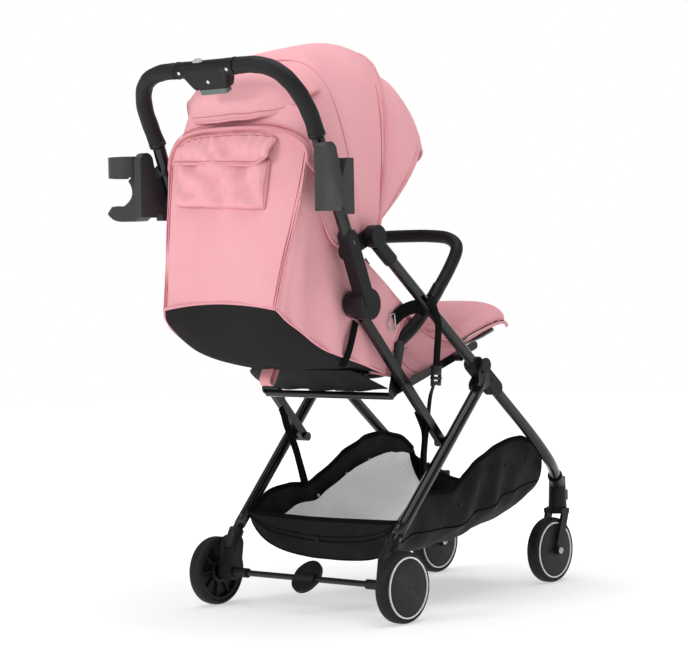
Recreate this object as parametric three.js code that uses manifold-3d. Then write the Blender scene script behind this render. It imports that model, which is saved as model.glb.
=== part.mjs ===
// Compact folding baby stroller, in millimetres. Z is up, the child faces -Y, and +X is the child's left.
// Every sub-part is one closed body in its own mesh. Side pairs carry the endings _right (-X) and _left (+X).
import * as THREE from 'three';
import { mergeVertices } from 'three/addons/utils/BufferGeometryUtils.js';
import Module from 'manifold-3d';

const wasm = await Module();
wasm.setup();

// ---- driving dimensions; Y is counted from the rear axle and Z from the ground ----
const ORIGIN = { x: -33, y: 200.2 };           // moves the box's middle onto the origin
const SIDES = [['right', -1], ['left', 1]];
const GAP = 0.4;                             // clearance between pieces that touch
const WHEEL = { radius: 67, rim: 57, width: 29 };
const REAR_AXLE = [0, 67];
const REAR_WHEEL_X = 234;
const FRONT_AXLE = [-600, 67];
const FRONT_WHEEL_X = 150;
const SWIVEL_Y = -630;
const HANDLE_HINGE = [22, 717];              // the handle folds forward about this pivot
const DISC_HINGE = [51, 593];                // strut and handle meet here
const STRUT_FOOT = [-204.6, 319.5];          // strut turns on the rear leg here
const LEG_HINGE = [-296.5, 463.7];           // rear leg turns on the front leg here
const GRIP_TOP = [247, 1029];
const SEAT_HINGE = [-80, 431];               // backrest turns on the seat here
const CALF_HINGE = [-308, 499];
const BUMPER_PIVOT = [-100, 508];
const CANOPY = { reach: 400, fullest: 120, flatten: 0.0285, half: 180, cloth: 6, spacing: 9 };
const FRONT_LEG_X = 195;
const STRUT_X = 175;
const BUMPER_X = 145;
const TUBE = 11;                             // radius of the leg tubes
const GRIP = 15.5;                           // radius of the foam grip

// ---- colours ----
const finish = (color, roughness, metalness = 0) => ({ color, roughness, metalness });
const SATIN = finish(0x1b1b1d, 0.38, 0.5);
const PLASTIC = finish(0x333436, 0.55);
const GREY_PLASTIC = finish(0x4a4a4b, 0.6);
const RUBBER = finish(0x18181a, 0.85);
const FOAM = finish(0x242426, 0.8);
const PINK = finish(0xeea3ad, 0.9);
const BLACK_CLOTH = finish(0x222226, 0.9);
const WHITE = finish(0xe8e8e6, 0.5);
const STEEL = finish(0xa9abad, 0.3, 0.9);

// ---- helpers ----
const V = (x, y, z) => new THREE.Vector3(x, y, z);
const polar = ([y, z], radius, degrees) => {
  const angle = THREE.MathUtils.degToRad(degrees);
  return [y + radius * Math.cos(angle), z + radius * Math.sin(angle)];
};

function toSolid(geometry) {
  geometry.deleteAttribute('normal');
  geometry.deleteAttribute('uv');
  const merged = mergeVertices(geometry, 1e-4);
  return new wasm.Manifold(new wasm.Mesh({
    numProp: 3,
    vertProperties: Float32Array.from(merged.attributes.position.array),
    triVerts: Uint32Array.from(merged.index.array),
  }));
}

function toGeometry(solid) {
  const mesh = solid.getMesh();
  const geometry = new THREE.BufferGeometry();
  geometry.setAttribute('position', new THREE.BufferAttribute(mesh.vertProperties, 3));
  geometry.setIndex(new THREE.BufferAttribute(mesh.triVerts, 1));
  geometry.computeVertexNormals();
  return geometry;
}

const join = (...pieces) => toGeometry(pieces.map(toSolid).reduce((a, b) => a.add(b)));
const cut = (body, ...tools) => toGeometry(tools.map(toSolid).reduce((a, b) => a.subtract(b), toSolid(body)));

// turns a drawing's x, y and depth into the frame's y, z and x
const TO_SIDE = new THREE.Matrix4().set(0, 0, 1, 0, 1, 0, 0, 0, 0, 1, 0, 0, 0, 0, 0, 1);

// an upright plate between two X positions, from its outline in Y and Z
function sidePlate(outline, xa, xb) {
  const shape = outline instanceof THREE.Shape ? outline : new THREE.Shape(outline.map(([y, z]) => new THREE.Vector2(y, z)));
  const options = { depth: Math.abs(xb - xa), bevelEnabled: false, curveSegments: 7 };
  return new THREE.ExtrudeGeometry(shape, options).applyMatrix4(TO_SIDE).translate(Math.min(xa, xb), 0, 0);
}

// a cylinder along X
function disc([y, z], radius, xa, xb, segments = 20) {
  const geometry = new THREE.CylinderGeometry(radius, radius, Math.abs(xb - xa), segments);
  return geometry.rotateZ(Math.PI / 2).translate((xa + xb) / 2, y, z);
}

// a bar of even width with round ends, drawn in Y and Z
function link([ya, za], [yb, zb], half, xa, xb) {
  const angle = Math.atan2(zb - za, yb - ya);
  const shape = new THREE.Shape();
  shape.absarc(ya, za, half, angle + Math.PI / 2, angle + Math.PI * 1.5, false);
  shape.absarc(yb, zb, half, angle - Math.PI / 2, angle + Math.PI / 2, false);
  return sidePlate(shape, xa, xb);
}

// a round tube along a smooth line through the points
function tube(points, radius, steps = 1, sides = 12) {
  const path = points.length > 2 ? new THREE.CatmullRomCurve3(points, false, 'centripetal') : new THREE.LineCurve3(...points);
  const ring = Array.from({ length: sides }, (_, i) => {
    const angle = (2 * Math.PI * i) / sides;
    return new THREE.Vector2(radius * Math.cos(angle), radius * Math.sin(angle));
  });
  return new THREE.ExtrudeGeometry(new THREE.Shape(ring), { extrudePath: path, steps, bevelEnabled: false });
}

// a block whose shape is given by place(u, v, w), with u, v and w running from 0 to 1
function moulded(nu, nv, nw, place) {
  const geometry = new THREE.BoxGeometry(1, 1, 1, nu, nv, nw);
  const position = geometry.attributes.position;
  for (let i = 0; i < position.count; i += 1) {
    const spot = place(position.getX(i) + 0.5, position.getY(i) + 0.5, position.getZ(i) + 0.5);
    position.setXYZ(i, spot.x, spot.y, spot.z);
  }
  return geometry;
}

// a panel with four corners given in turn, thickened by the vector `through`
function panel([a, b, c, d], through) {
  const volume = b.clone().sub(a).cross(d.clone().sub(a)).dot(through);
  const [second, fourth] = volume > 0 ? [b, d] : [d, b];
  return moulded(1, 1, 1, (u, v, w) => {
    const near = a.clone().lerp(second, u);
    const far = fourth.clone().lerp(c, u);
    return near.lerp(far, v).addScaledVector(through, w);
  });
}

const stroller = new THREE.Group();
stroller.name = 'stroller';
stroller.position.set(ORIGIN.x, ORIGIN.y, 0);

function add(name, geometry, look) {
  const mesh = new THREE.Mesh(geometry, new THREE.MeshStandardMaterial(look));
  mesh.name = name;
  stroller.add(mesh);
}

// ---- front legs ----
const LEG_SLOPE = 0.8068;                    // rise of the front leg for each millimetre back
const legPoint = (y, x) => V(x, y, HANDLE_HINGE[1] + LEG_SLOPE * (y - HANDLE_HINGE[0]));
const legSpot = (y) => [y, HANDLE_HINGE[1] + LEG_SLOPE * (y - HANDLE_HINGE[0])];

function frontLegs(name, s) {
  const x = s * FRONT_LEG_X;
  const bend = [V(s * 191, -535, 266), V(s * 177, -578, 237), V(s * 165, -603, 217)];
  add(`front_leg_${name}`, tube([legPoint(2, x), legPoint(-240, x), legPoint(-400, x), legPoint(-470, x), ...bend], TUBE, 14), SATIN);

  const cap = disc(HANDLE_HINGE, 21, s * 192.5, s * 214);
  const sleeve = tube([legPoint(6, x), legPoint(-34, x)], 14, 1, 14);
  const pin = disc(HANDLE_HINGE, 6, s * 183, s * 193);
  const pinHead = disc(HANDLE_HINGE, 10, s * 181.4, s * 183.4);
  const bore = tube([legPoint(2 + GAP, x), legPoint(-60, x)], TUBE + GAP, 1, 12);
  add(`leg_cap_${name}`, cut(join(cap, sleeve, pin, pinHead), bore), PLASTIC);

  const clamp = link(legSpot(-288), legSpot(-350), 14.5, s * 180.5, s * 207);
  const rearHorn = link(legSpot(-318), [-300, 424], 13, s * 181, s * 191.6);
  const cover = disc(LEG_HINGE, 15, s * 215.4, s * 219);
  const hingePin = disc(LEG_HINGE, 5, s * 206, s * 216);
  const legBore = tube([legPoint(-200, x), legPoint(-420, x)], TUBE + GAP, 1, 12);
  add(`leg_bracket_${name}`, cut(join(clamp, rearHorn, cover, hingePin), legBore), PLASTIC);
}

// ---- caster wheels at the front ----
const casterX = (s) => s * FRONT_WHEEL_X;

function caster(name, s) {
  const x = casterX(s);
  const post = new THREE.CylinderGeometry(17, 19, 62, 24).rotateX(Math.PI / 2).translate(x, SWIVEL_Y, 185);
  const arm = tube([V(x + s * 4, SWIVEL_Y + 4, 204), V(s * 168, -596, 222)], 15.5, 1, 14);
  const bore = tube([V(s * 165, -603, 217), V(s * 181, -568, 243)], TUBE + GAP, 1, 12);
  const legRoom = tube([V(s * 160.5, -611.5, 211), V(s * 165.2, -602.6, 217.2), V(s * 177, -578, 237), V(s * 191, -535, 266)], TUBE + 0.6, 6, 12);
  add(`caster_housing_${name}`, cut(join(post, arm), bore, legRoom), PLASTIC);

  const lever = new THREE.BoxGeometry(16, 8, 22).translate(x, SWIVEL_Y - 23.5, 176);
  add(`swivel_lock_${name}`, lever, GREY_PLASTIC);

  const crown = new THREE.CylinderGeometry(19, 22, 13, 24).rotateX(Math.PI / 2).translate(x, SWIVEL_Y, 147);
  const arms = [-1, 1].map((t) => link([SWIVEL_Y + 3, 143], FRONT_AXLE, 10, x + t * 17, x + t * 23));
  const bridge = new THREE.BoxGeometry(46, 26, 10).translate(x, SWIVEL_Y + 4, 146);
  const bolts = [-1, 1].map((t) => disc(FRONT_AXLE, 8, x + t * 22.5, x + t * 26, 20));
  const axle = disc(FRONT_AXLE, 4, x - 24, x + 24, 20);
  add(`caster_fork_${name}`, join(crown, bridge, ...arms, ...bolts, axle), PLASTIC);
  wheel(`front`, name, x, FRONT_AXLE);
}

// a tyre and a hub, turned about the axle; the hub's bore clears the axle
function wheel(end, name, x, [y, z]) {
  const half = WHEEL.width / 2;
  const turned = (profile) => {
    const points = profile.map(([radius, along]) => new THREE.Vector2(radius, along));
    return new THREE.LatheGeometry([...points, points[0]], 28).rotateZ(Math.PI / 2).translate(x, y, z);
  };
  const shoulder = half - 5;
  add(`${end}_tyre_${name}`, turned([
    [WHEEL.rim, -half + 2], [WHEEL.radius - 4, -half + 0.5], [WHEEL.radius - 1, -shoulder], [WHEEL.radius, -shoulder + 3],
    [WHEEL.radius, shoulder - 3], [WHEEL.radius - 1, shoulder], [WHEEL.radius - 4, half - 0.5], [WHEEL.rim, half - 2],
  ]), RUBBER);
  const rim = WHEEL.rim - GAP;
  add(`${end}_hub_${name}`, turned([
    [4.3, -half + 1], [14, -half + 1], [18, -half + 5], [rim - 6, -half + 5], [rim, -half + 3],
    [rim, half - 3], [rim - 6, half - 5], [18, half - 5], [14, half - 1], [4.3, half - 1],
  ]), WHITE);
}

// ---- rear legs, axle and brake ----
const REAR_LEG_TOP = [-299, 431];
const REAR_LEG_FOOT = [-11.5, 136];

function rearLegs(name, s) {
  const top = V(s * 205, ...REAR_LEG_TOP);
  const foot = V(s * 197.6, ...REAR_LEG_FOOT);
  const knuckle = cut(link(LEG_HINGE, REAR_LEG_TOP, 13, s * 207.6, s * 214.6), disc(LEG_HINGE, 5.4, s * 200, s * 220, 20));
  const spacer = disc(STRUT_FOOT, 9, s * 181.6, s * 198);
  const pivot = disc(STRUT_FOOT, 5, s * 166, s * 185);
  const head = disc(STRUT_FOOT, 9, s * 163.4, s * 168.4);
  add(`rear_leg_${name}`, join(tube([foot, top], TUBE - 0.4, 1, 12), knuckle, spacer, pivot, head), SATIN);

  const shell = link(REAR_AXLE, [-9, 122], 16, s * 183, s * 214);
  const socket = tube([V(s * 196.5, 1, 110), V(s * 197.8, -22, 148)], 15, 1, 14);
  const collar = disc(REAR_AXLE, 9.5, s * 150, s * 184);
  const bore = tube([foot.clone().lerp(top, -0.004), top], TUBE + 0.1, 1, 12);
  const barHole = disc(REAR_AXLE, 4.4, s * 140, s * 260, 20);
  add(`axle_housing_${name}`, cut(join(shell, socket, collar), bore, barHole), PLASTIC);
  add(`rear_axle_${name}`, disc(REAR_AXLE, 4, s * 151, s * 249, 20), STEEL);
  wheel('rear', name, s * REAR_WHEEL_X, REAR_AXLE);
}

function brake() {
  add('brake_bar', disc(REAR_AXLE, 6, -149.6, 149.6, 20), SATIN);
  const paddle = new THREE.CylinderGeometry(34, 34, 8, 32).scale(0.94, 1, 1.06).rotateX(Math.PI * 0.27);
  const sleeve = disc(REAR_AXLE, 11, -24, 24);
  const pedal = join(paddle.translate(0, REAR_AXLE[0] - 2, REAR_AXLE[1] + 3), sleeve);
  add('brake_pedal', cut(pedal, disc(REAR_AXLE, 6.3, -60, 60)), PLASTIC);
}

// ---- struts between the rear legs and the handle ----
function strut(name, s) {
  const inner = s * (STRUT_X - 6);
  const outer = s * (STRUT_X + 6);
  const bar = link(STRUT_FOOT, DISC_HINGE, 9, inner, outer);
  const drum = disc(DISC_HINGE, 26, s * 168, s * 182.6, 32);
  add(`strut_${name}`, cut(join(bar, drum), disc(STRUT_FOOT, 5.4, s * 150, s * 190, 20)), SATIN);
  add(`basket_strap_${name}`, link([-116, 384], [-190, 232], 6, s * 158.5, s * 161), BLACK_CLOTH);
}

// ---- seat frame ----
function seatRail(name, s) {
  const rail = link([-77, 423], [-338, 501], 8, s * 158, s * 161.6);
  const upstand = link([-77, 425], BUMPER_PIVOT, 12, s * 158.2, s * 161.6);
  const spacer = disc([-268, 480], 7, s * 160, s * 180);
  add(`seat_rail_${name}`, join(rail, upstand, spacer), SATIN);
}

function seatTubes() {
  add('seat_cross_tube', disc([-77, 415], 7, -157.7, 157.7, 20), SATIN);
}

// ---- handle ----

const shaftTube = (s, radius) => tube([V(s * 203, 95, 702), V(s * 199, 157, 855), V(s * 198, 173, 897)], radius, 4, 12);

function upright(name, s) {
  const plate = link([54, 600], [101, 716], 14, s * 190.4, s * 215);
  const drum = disc(DISC_HINGE, 29, s * 184.2, s * 214, 32);
  const lug = link(HANDLE_HINGE, [90, 690], 15, s * 183.8, s * 191);
  const hole = disc(HANDLE_HINGE, 6.5, s * 170, s * 220);
  add(`handle_upright_${name}`, cut(join(plate, drum, lug, shaftTube(s, 12)), hole), PLASTIC);

  const points = [[198, 174.3, 898], [199, 191, 932], [194, 212, 968], [178, 230, 999], [152, 241, 1019], [115, 246, 1028], [73, ...GRIP_TOP]];
  add(`handle_grip_${name}`, tube(points.map(([x, y, z]) => V(s * x, y, z)), GRIP, 12, 14), FOAM);
}

const HANDLE_LEAN = Math.atan2(0.86, 0.51);  // slope of the handle's plane

function handleHousing() {
  const outline = new THREE.Shape();
  outline.moveTo(-72.5, -15.5);
  outline.lineTo(-56, -15.5);
  outline.quadraticCurveTo(-44, -17, -38, -40);
  outline.lineTo(38, -40);
  outline.quadraticCurveTo(44, -17, 56, -15.5);
  outline.lineTo(72.5, -15.5);
  outline.lineTo(72.5, 15.5);
  outline.lineTo(-72.5, 15.5);
  const body = new THREE.ExtrudeGeometry(outline, { depth: 27, bevelEnabled: false, curveSegments: 6 }).translate(0, 0, -13.5);
  const slot = new THREE.BoxGeometry(66.8, 24, 16.8).translate(0, -36, 0);
  const sliderSlot = new THREE.BoxGeometry(34.8, 8, 12.8).translate(18, 14, 0);
  const place = (geometry) => geometry.rotateX(HANDLE_LEAN).translate(0, ...GRIP_TOP);
  add('handle_housing', place(cut(body, slot, sliderSlot)), PLASTIC);
  add('fold_trigger', place(new THREE.BoxGeometry(66, 18, 16).translate(0, -41, 0)), GREY_PLASTIC);
  add('lock_slider', place(new THREE.BoxGeometry(22, 9, 12).translate(15, 15, 0)), GREY_PLASTIC);
}

// ---- accessories on the handle ----
function adapter(name, s) {
  const outline = (notched) => {
    const shape = new THREE.Shape();
    shape.moveTo(206, 763);
    shape.lineTo(206, 868);
    shape.absarc(188, 868, 18, 0, Math.PI, false);
    shape.lineTo(167, 858);
    if (notched) shape.lineTo(157, 824);
    shape.lineTo(142, 858);
    shape.lineTo(124, 858);
    shape.lineTo(124, 757);
    shape.lineTo(148, 757);
    shape.lineTo(150, 769);
    shape.lineTo(161, 770);
    shape.lineTo(163, 763);
    return shape;
  };
  const [inner, outer] = s < 0 ? [229, 240] : [225, 232];
  const back = sidePlate(outline(false), s * 216, s * (inner + 0.5));
  const face = sidePlate(outline(true), s * inner, s * outer);
  const clamps = [[130, 788], [155, 850]].map((spot) => disc(spot, 13, s * 190, s * 217));
  add(`accessory_mount_${name}`, cut(join(back, face, ...clamps), shaftTube(s, 12 + GAP)), GREY_PLASTIC);
}

// a ring open at the front, a web down to a cradle with an upturned lip
function cupHolder() {
  const [x, y] = [274, 176];
  const ring = new THREE.Shape();
  ring.absarc(0, 0, 41, -2.3, 2.3, false);
  ring.absarc(0, 0, 37, 2.3, -2.3, true);
  const options = { depth: 40, bevelEnabled: false, curveSegments: 20 };
  const band = new THREE.ExtrudeGeometry(ring, options).rotateZ(Math.PI / 2).translate(x, y, 840);
  const web = new THREE.Shape();
  web.moveTo(232.6, 882);
  web.lineTo(239, 880);
  web.lineTo(240, 852);
  web.lineTo(262, 834);
  web.quadraticCurveTo(238, 805, 272, 788);
  web.quadraticCurveTo(285, 780, 294, 787);
  web.lineTo(308, 786);
  web.lineTo(320, 773);
  web.quadraticCurveTo(308, 757, 280, 756.5);
  web.lineTo(246, 757);
  web.lineTo(232.6, 766);
  const cradle = new THREE.ExtrudeGeometry(web, { depth: 34, bevelEnabled: false, curveSegments: 6 });
  add('cup_holder', join(band, cradle.rotateX(Math.PI / 2).translate(0, y + 17, 0)), GREY_PLASTIC);
}

// ---- bumper bar ----
function bumperBar() {
  const half = [[BUMPER_X, ...BUMPER_PIVOT], [BUMPER_X, -168, 548], [BUMPER_X, -232, 604], [BUMPER_X, -281, 655], [143, -308, 694], [112, -322, 713], [60, -329, 719]];
  const right = half.map(([x, y, z]) => V(-x, y, z));
  const left = half.map(([x, y, z]) => V(x, y, z)).reverse();
  const bar = tube([...right, V(0, -331, 720), ...left], 12.4, 30, 12);
  const ends = SIDES.map(([, s]) => disc(BUMPER_PIVOT, 12.4, s * (BUMPER_X - 12), s * (BUMPER_X + 12)));
  add('bumper_bar', join(bar, ...ends), FOAM);
}

// ---- soft seat, calf rest and backrest ----
function seat() {
  const base = sidePlate([[-92, 444], [-300, 505], [-308, 532], [-98, 472]], -134, 134);
  const wing = (s) => sidePlate([[-93, 450], [-302, 512], [-306, 536], [-200, 548], [-20, 688], [-38, 590]], s * 126, s * 131);
  add('seat_pad', join(base, wing(-1), wing(1)), PINK);
  const buckle = new THREE.BoxGeometry(46, 14, 40).rotateX(-0.3).translate(0, -205, 556);
  const strap = new THREE.BoxGeometry(26, 4, 50).rotateX(-0.3).translate(0, -212, 534);
  add('harness_buckle', join(buckle, strap), PLASTIC);
}

function calfRest() {
  const board = sidePlate([[-312, 497], [-480, 543], [-487, 562], [-480, 568], [-314, 522]], -138, 138);
  const knobs = SIDES.map(([, s]) => disc(CALF_HINGE, 8, s * 137, s * 157.4, 20));
  const arms = SIDES.map(([, s]) => link(CALF_HINGE, [-345, 512], 8, s * 134, s * 140));
  add('calf_rest', join(board, ...knobs, ...arms), PINK);
}

// outline of the bucket's side, from the seat hinge round to the top of the rear panel
function bucket() {
  const low = (s) => V(s * 134, -38, 458);
  const heel = (s) => V(s * 141, 229, 589);
  const crown = (s) => V(s * 170, 173, 868);
  const front = (s) => V(s * 138, 8, 690);
  const down = V(0, 7, -12);
  const floor = panel([low(-1), low(1), heel(1), heel(-1)], down);
  const rear = panel([heel(-1).add(V(0, 0, -6)), heel(1).add(V(0, 0, -6)), crown(1), crown(-1)], V(0, -8, -1.6));
  const side = (s) => panel([low(s), heel(s).add(V(0, -4, -4)), crown(s), front(s)], V(-s * 6, 0, 0));
  add('seat_bucket', join(floor, rear, side(-1), side(1)), PINK);

  const board = panel([V(-122, -62, 462), V(122, -62, 462), V(122, 140, 560), V(-122, 140, 560)], V(0, -6, 12));
  const hingeTabs = SIDES.map(([, s]) => disc(SEAT_HINGE, 9, s * 118, s * 131, 14));
  const tabLinks = SIDES.map(([, s]) => link(SEAT_HINGE, [-50, 470], 9, s * 116, s * 122));
  add('backrest_board', join(board, ...hingeTabs, ...tabLinks), BLACK_CLOTH);

  const pouch = panel([V(-114, 203, 770), V(126, 203, 770), V(130, 185, 880), V(-126, 185, 880)], V(0, 22, 4));
  add('rear_pocket', pouch.translate(0, 3, 1), PINK);
}

// ---- canopy ----
// a point on a hoop tilted about the handle hinge; round runs from 0 to 1 over the top, inset goes inwards
function hoop(turn, round, inset) {
  const angle = Math.PI * (0.03 + 0.94 * round);
  const reach = CANOPY.reach - CANOPY.flatten * (turn - CANOPY.fullest) ** 2 - inset;
  const rise = Math.sin(angle) ** 0.8;
  const spread = Math.sign(Math.cos(angle)) * Math.abs(Math.cos(angle)) ** 0.8;
  const [y, z] = polar(HANDLE_HINGE, reach * rise, turn);
  return V((CANOPY.half - inset) * spread, y, z);
}

function canopyShell(from, to, inset, thick, along) {
  return moulded(26, along, 1, (u, v, w) => hoop(from + (to - from) * v, u, inset + thick * (1 - w)));
}

function canopy() {
  const { cloth, spacing } = CANOPY;
  add('canopy_rear', canopyShell(47, 119, 0, cloth, 7), PINK);
  add('canopy_front', canopyShell(116, 149, spacing, cloth, 4), PINK);
  add('canopy_bow_mid', canopyShell(117, 119, 2 * spacing, 3, 1), STEEL);
  add('canopy_bow_front', canopyShell(146, 148, 2 * spacing, 3, 1), STEEL);
}

// ---- basket and straps ----
function basket() {
  const outer = [[-50, 184], [-60, 112], [-82, 93], [-300, 93], [-460, 118], [-545, 162], [-520, 300]];
  const inner = [[-53, 200], [-65, 114], [-84, 98], [-300, 98], [-458, 123], [-540, 165], [-514, 320]];
  add('basket', cut(sidePlate(outer, -176, 176), sidePlate(inner, -171, 171)), BLACK_CLOTH);
}

function sideStrap(name, s) {
  const strap = panel([V(s * 209, -138, 606), V(s * 209, -158, 606), V(s * 217, -172, 448), V(s * 217, -152, 448)], V(s * 2, 0, 0));
  const buckle = new THREE.BoxGeometry(8, 24, 40).translate(s * 219, -164, 445);
  add(`side_strap_${name}`, join(strap, buckle), BLACK_CLOTH);
}

for (const [name, s] of SIDES) {
  frontLegs(name, s);
  caster(name, s);
  rearLegs(name, s);
  strut(name, s);
  seatRail(name, s);
  upright(name, s);
  adapter(name, s);
  sideStrap(name, s);
}
brake();
seatTubes();
handleHousing();
cupHolder();
bumperBar();
seat();
calfRest();
bucket();
canopy();
basket();

export default stroller;
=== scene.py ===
# Looks for the folding baby stroller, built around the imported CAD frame.
import math

import bmesh
import bpy
import numpy as np
from mathutils import Matrix, Vector, noise


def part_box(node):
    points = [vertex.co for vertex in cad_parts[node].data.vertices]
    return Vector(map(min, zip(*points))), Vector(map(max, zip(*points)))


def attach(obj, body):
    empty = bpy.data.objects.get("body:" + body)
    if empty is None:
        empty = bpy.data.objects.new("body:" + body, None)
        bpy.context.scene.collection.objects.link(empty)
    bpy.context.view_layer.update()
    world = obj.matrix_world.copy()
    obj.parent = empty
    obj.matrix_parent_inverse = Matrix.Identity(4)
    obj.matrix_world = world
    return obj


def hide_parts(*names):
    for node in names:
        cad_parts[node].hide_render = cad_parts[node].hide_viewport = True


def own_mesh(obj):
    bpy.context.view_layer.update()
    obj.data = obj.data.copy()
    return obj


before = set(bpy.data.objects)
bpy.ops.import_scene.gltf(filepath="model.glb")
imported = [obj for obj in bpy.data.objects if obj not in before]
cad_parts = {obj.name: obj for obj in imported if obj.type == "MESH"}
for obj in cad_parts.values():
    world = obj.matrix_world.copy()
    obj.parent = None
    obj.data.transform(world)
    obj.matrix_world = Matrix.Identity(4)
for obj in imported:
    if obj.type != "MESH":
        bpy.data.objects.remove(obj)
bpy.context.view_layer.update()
MM = 0.001


# ---- the drawing's coordinates: millimetres from the ground under the rear axle ----
def middle(node):
    low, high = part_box(node)
    return (low + high) / 2


AXLE = (middle("rear_tyre_right") + middle("rear_tyre_left")) / 2
SHIFT = Vector((AXLE.x, AXLE.y, 0.0))


def at(x, y, z):
    """A point of the drawing, in millimetres, as a point of the scene in metres."""
    return Vector((x * MM, y * MM, z * MM)) + SHIFT


HANDLE_HINGE = (22.0, 717.0)
LEG_SLOPE = 0.8068
LEG_DOWN = Vector((0, 0.628, -0.778))     # square to the front legs, towards the back and the ground
HANDLE_OUT = Vector((0, -0.927, 0.375))   # square to the handle, towards the front
ACROSS = Vector((1, 0, 0))


def leg_z(y):
    """Height of the front legs' middle line."""
    return HANDLE_HINGE[1] + LEG_SLOPE * (y - HANDLE_HINGE[0])


def polar(turn, reach):
    """Front-to-back place and height at that turn, in degrees, and reach from the handle's hinge."""
    angle = math.radians(turn)
    return HANDLE_HINGE[0] + reach * math.cos(angle), HANDLE_HINGE[1] + reach * math.sin(angle)


def smooth(x, keys, values):
    """Values between keys, joined by a smooth curve."""
    x = min(max(x, keys[0]), keys[-1])
    i = max(0, min(len(keys) - 2, int(np.searchsorted(keys, x)) - 1))
    slope = []
    for j in (i, i + 1):
        a, b = max(j - 1, 0), min(j + 1, len(keys) - 1)
        slope.append((values[b] - values[a]) / (keys[b] - keys[a]))
    span = keys[i + 1] - keys[i]
    t = (x - keys[i]) / span
    h = ((1 + 2 * t) * (1 - t) ** 2, t * (1 - t) ** 2 * span,
         t * t * (3 - 2 * t), t * t * (t - 1) * span)
    return h[0] * values[i] + h[1] * slope[0] + h[2] * values[i + 1] + h[3] * slope[1]


def along(points, t):
    """The point at share t of a smooth line through the points."""
    keys = [i / (len(points) - 1) for i in range(len(points))]
    return Vector([smooth(t, keys, [p[k] for p in points]) for k in range(3)])


def step(t, low, high):
    """Rises softly from 0 at low to 1 at high."""
    t = min(max((t - low) / (high - low), 0.0), 1.0)
    return t * t * (3 - 2 * t)


# ---- materials ----
class Nodes:
    """A node tree with short ways to add the nodes that the materials and the sky share."""

    def __init__(self, owner, coordinates):
        owner.use_nodes = True
        self.tree = owner.node_tree
        self.place = self.tree.nodes.new("ShaderNodeTexCoord").outputs[coordinates]

    def node(self, kind, **values):
        made = self.tree.nodes.new(kind)
        for key, value in values.items():
            if hasattr(made, key):
                setattr(made, key, value)
            else:
                made.inputs[key.replace("_", " ")].default_value = value
        return made

    def link(self, a, b):
        self.tree.links.new(a, b)

    def math(self, operation, a, b):
        made = self.node("ShaderNodeMath", operation=operation)
        for socket, value in zip(made.inputs, (a, b)):
            if isinstance(value, (int, float)):
                socket.default_value = value
            else:
                self.link(value, socket)
        return made.outputs["Value"]

    def ramp(self, value, *stops):
        made = self.node("ShaderNodeValToRGB")
        ramp = made.color_ramp
        while len(ramp.elements) < len(stops):
            ramp.elements.new(0.5)
        for element, (position, colour) in zip(ramp.elements, stops):
            element.position = position
            element.color = (*colour, 1.0)
        self.link(value, made.inputs["Fac"])
        return made.outputs["Color"]

    def mix(self, share, a, b, blend="MIX"):
        made = self.node("ShaderNodeMix", data_type="RGBA", blend_type=blend)
        sockets = made.inputs["Factor"], made.inputs[6], made.inputs[7]
        for socket, value in zip(sockets, (share, a, b)):
            if isinstance(value, tuple):
                socket.default_value = (*value, 1.0)
            elif isinstance(value, (int, float)):
                socket.default_value = value
            else:
                self.link(value, socket)
        return made.outputs[2]


class Shader(Nodes):
    """The node tree of one material."""

    def __init__(self, name):
        self.material = bpy.data.materials.new(name)
        super().__init__(self.material, "Object")
        self.bsdf = self.tree.nodes["Principled BSDF"]

    def noise(self, scale, detail=3.0):
        made = self.node("ShaderNodeTexNoise", Scale=scale, Detail=detail, Roughness=0.5)
        self.link(self.place, made.inputs["Vector"])
        return made.outputs["Fac"]

    def bump(self, height, strength, distance, after=None):
        made = self.node("ShaderNodeBump", Strength=strength, Distance=distance)
        self.link(height, made.inputs["Height"])
        if after:
            self.link(after, made.inputs["Normal"])
        return made.outputs["Normal"]

    def colour(self, value):
        self.link(value, self.bsdf.inputs["Base Color"])

    def roughness(self, low, high, scale):
        value = self.math("MULTIPLY_ADD", self.noise(scale), high - low)
        value.node.inputs[2].default_value = low
        self.link(value, self.bsdf.inputs["Roughness"])

    def normal(self, value):
        self.link(value, self.bsdf.inputs["Normal"])

    def set(self, **values):
        for key, value in values.items():
            self.bsdf.inputs[key.replace("_", " ")].default_value = value


def hexed(text):
    """A colour written as on screen, such as f8b7bd, in linear light."""
    channels = [int(text[i:i + 2], 16) / 255 for i in (0, 2, 4)]
    return tuple(c / 12.92 if c <= 0.04045 else ((c + 0.055) / 1.055) ** 2.4 for c in channels)


def threads(shader, pitch):
    """Height of a plain weave with threads `pitch` metres apart, on any plane."""
    total = None
    for direction in ("X", "Y", "Z"):
        wave = shader.node("ShaderNodeTexWave", wave_type="BANDS", bands_direction=direction,
                           wave_profile="SIN", Scale=math.tau / 20 / pitch, Distortion=0.6, Detail=1.0)
        wave.inputs["Detail Scale"].default_value = 6.0
        shader.link(shader.place, wave.inputs["Vector"])
        total = wave.outputs["Fac"] if total is None else shader.math("ADD", total, wave.outputs["Fac"])
    return total


def fabric(name, light, shade, pitch=0.0011, depth=0.00022, rough=0.82, sheen=0.0, gloss=0.12):
    """Woven cloth between two tones, with threads `pitch` metres apart."""
    shader = Shader(name)
    broad = shader.mix(shader.noise(7.0, 2.0), hexed(light), hexed(shade))
    fine = shader.ramp(shader.noise(900.0, 2.0), (0.3, (0.82, 0.82, 0.82)), (0.75, (1.0, 1.0, 1.0)))
    shader.colour(shader.mix(1.0, broad, fine, "MULTIPLY"))
    soft = shader.bump(shader.noise(38.0, 3.0), 0.22, 0.0022)
    shader.normal(shader.bump(threads(shader, pitch), 0.35, depth, soft))
    shader.roughness(rough - 0.08, rough + 0.08, 60.0)
    shader.set(Sheen_Weight=sheen, Sheen_Roughness=0.45, Specular_IOR_Level=gloss)
    return shader.material


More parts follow.
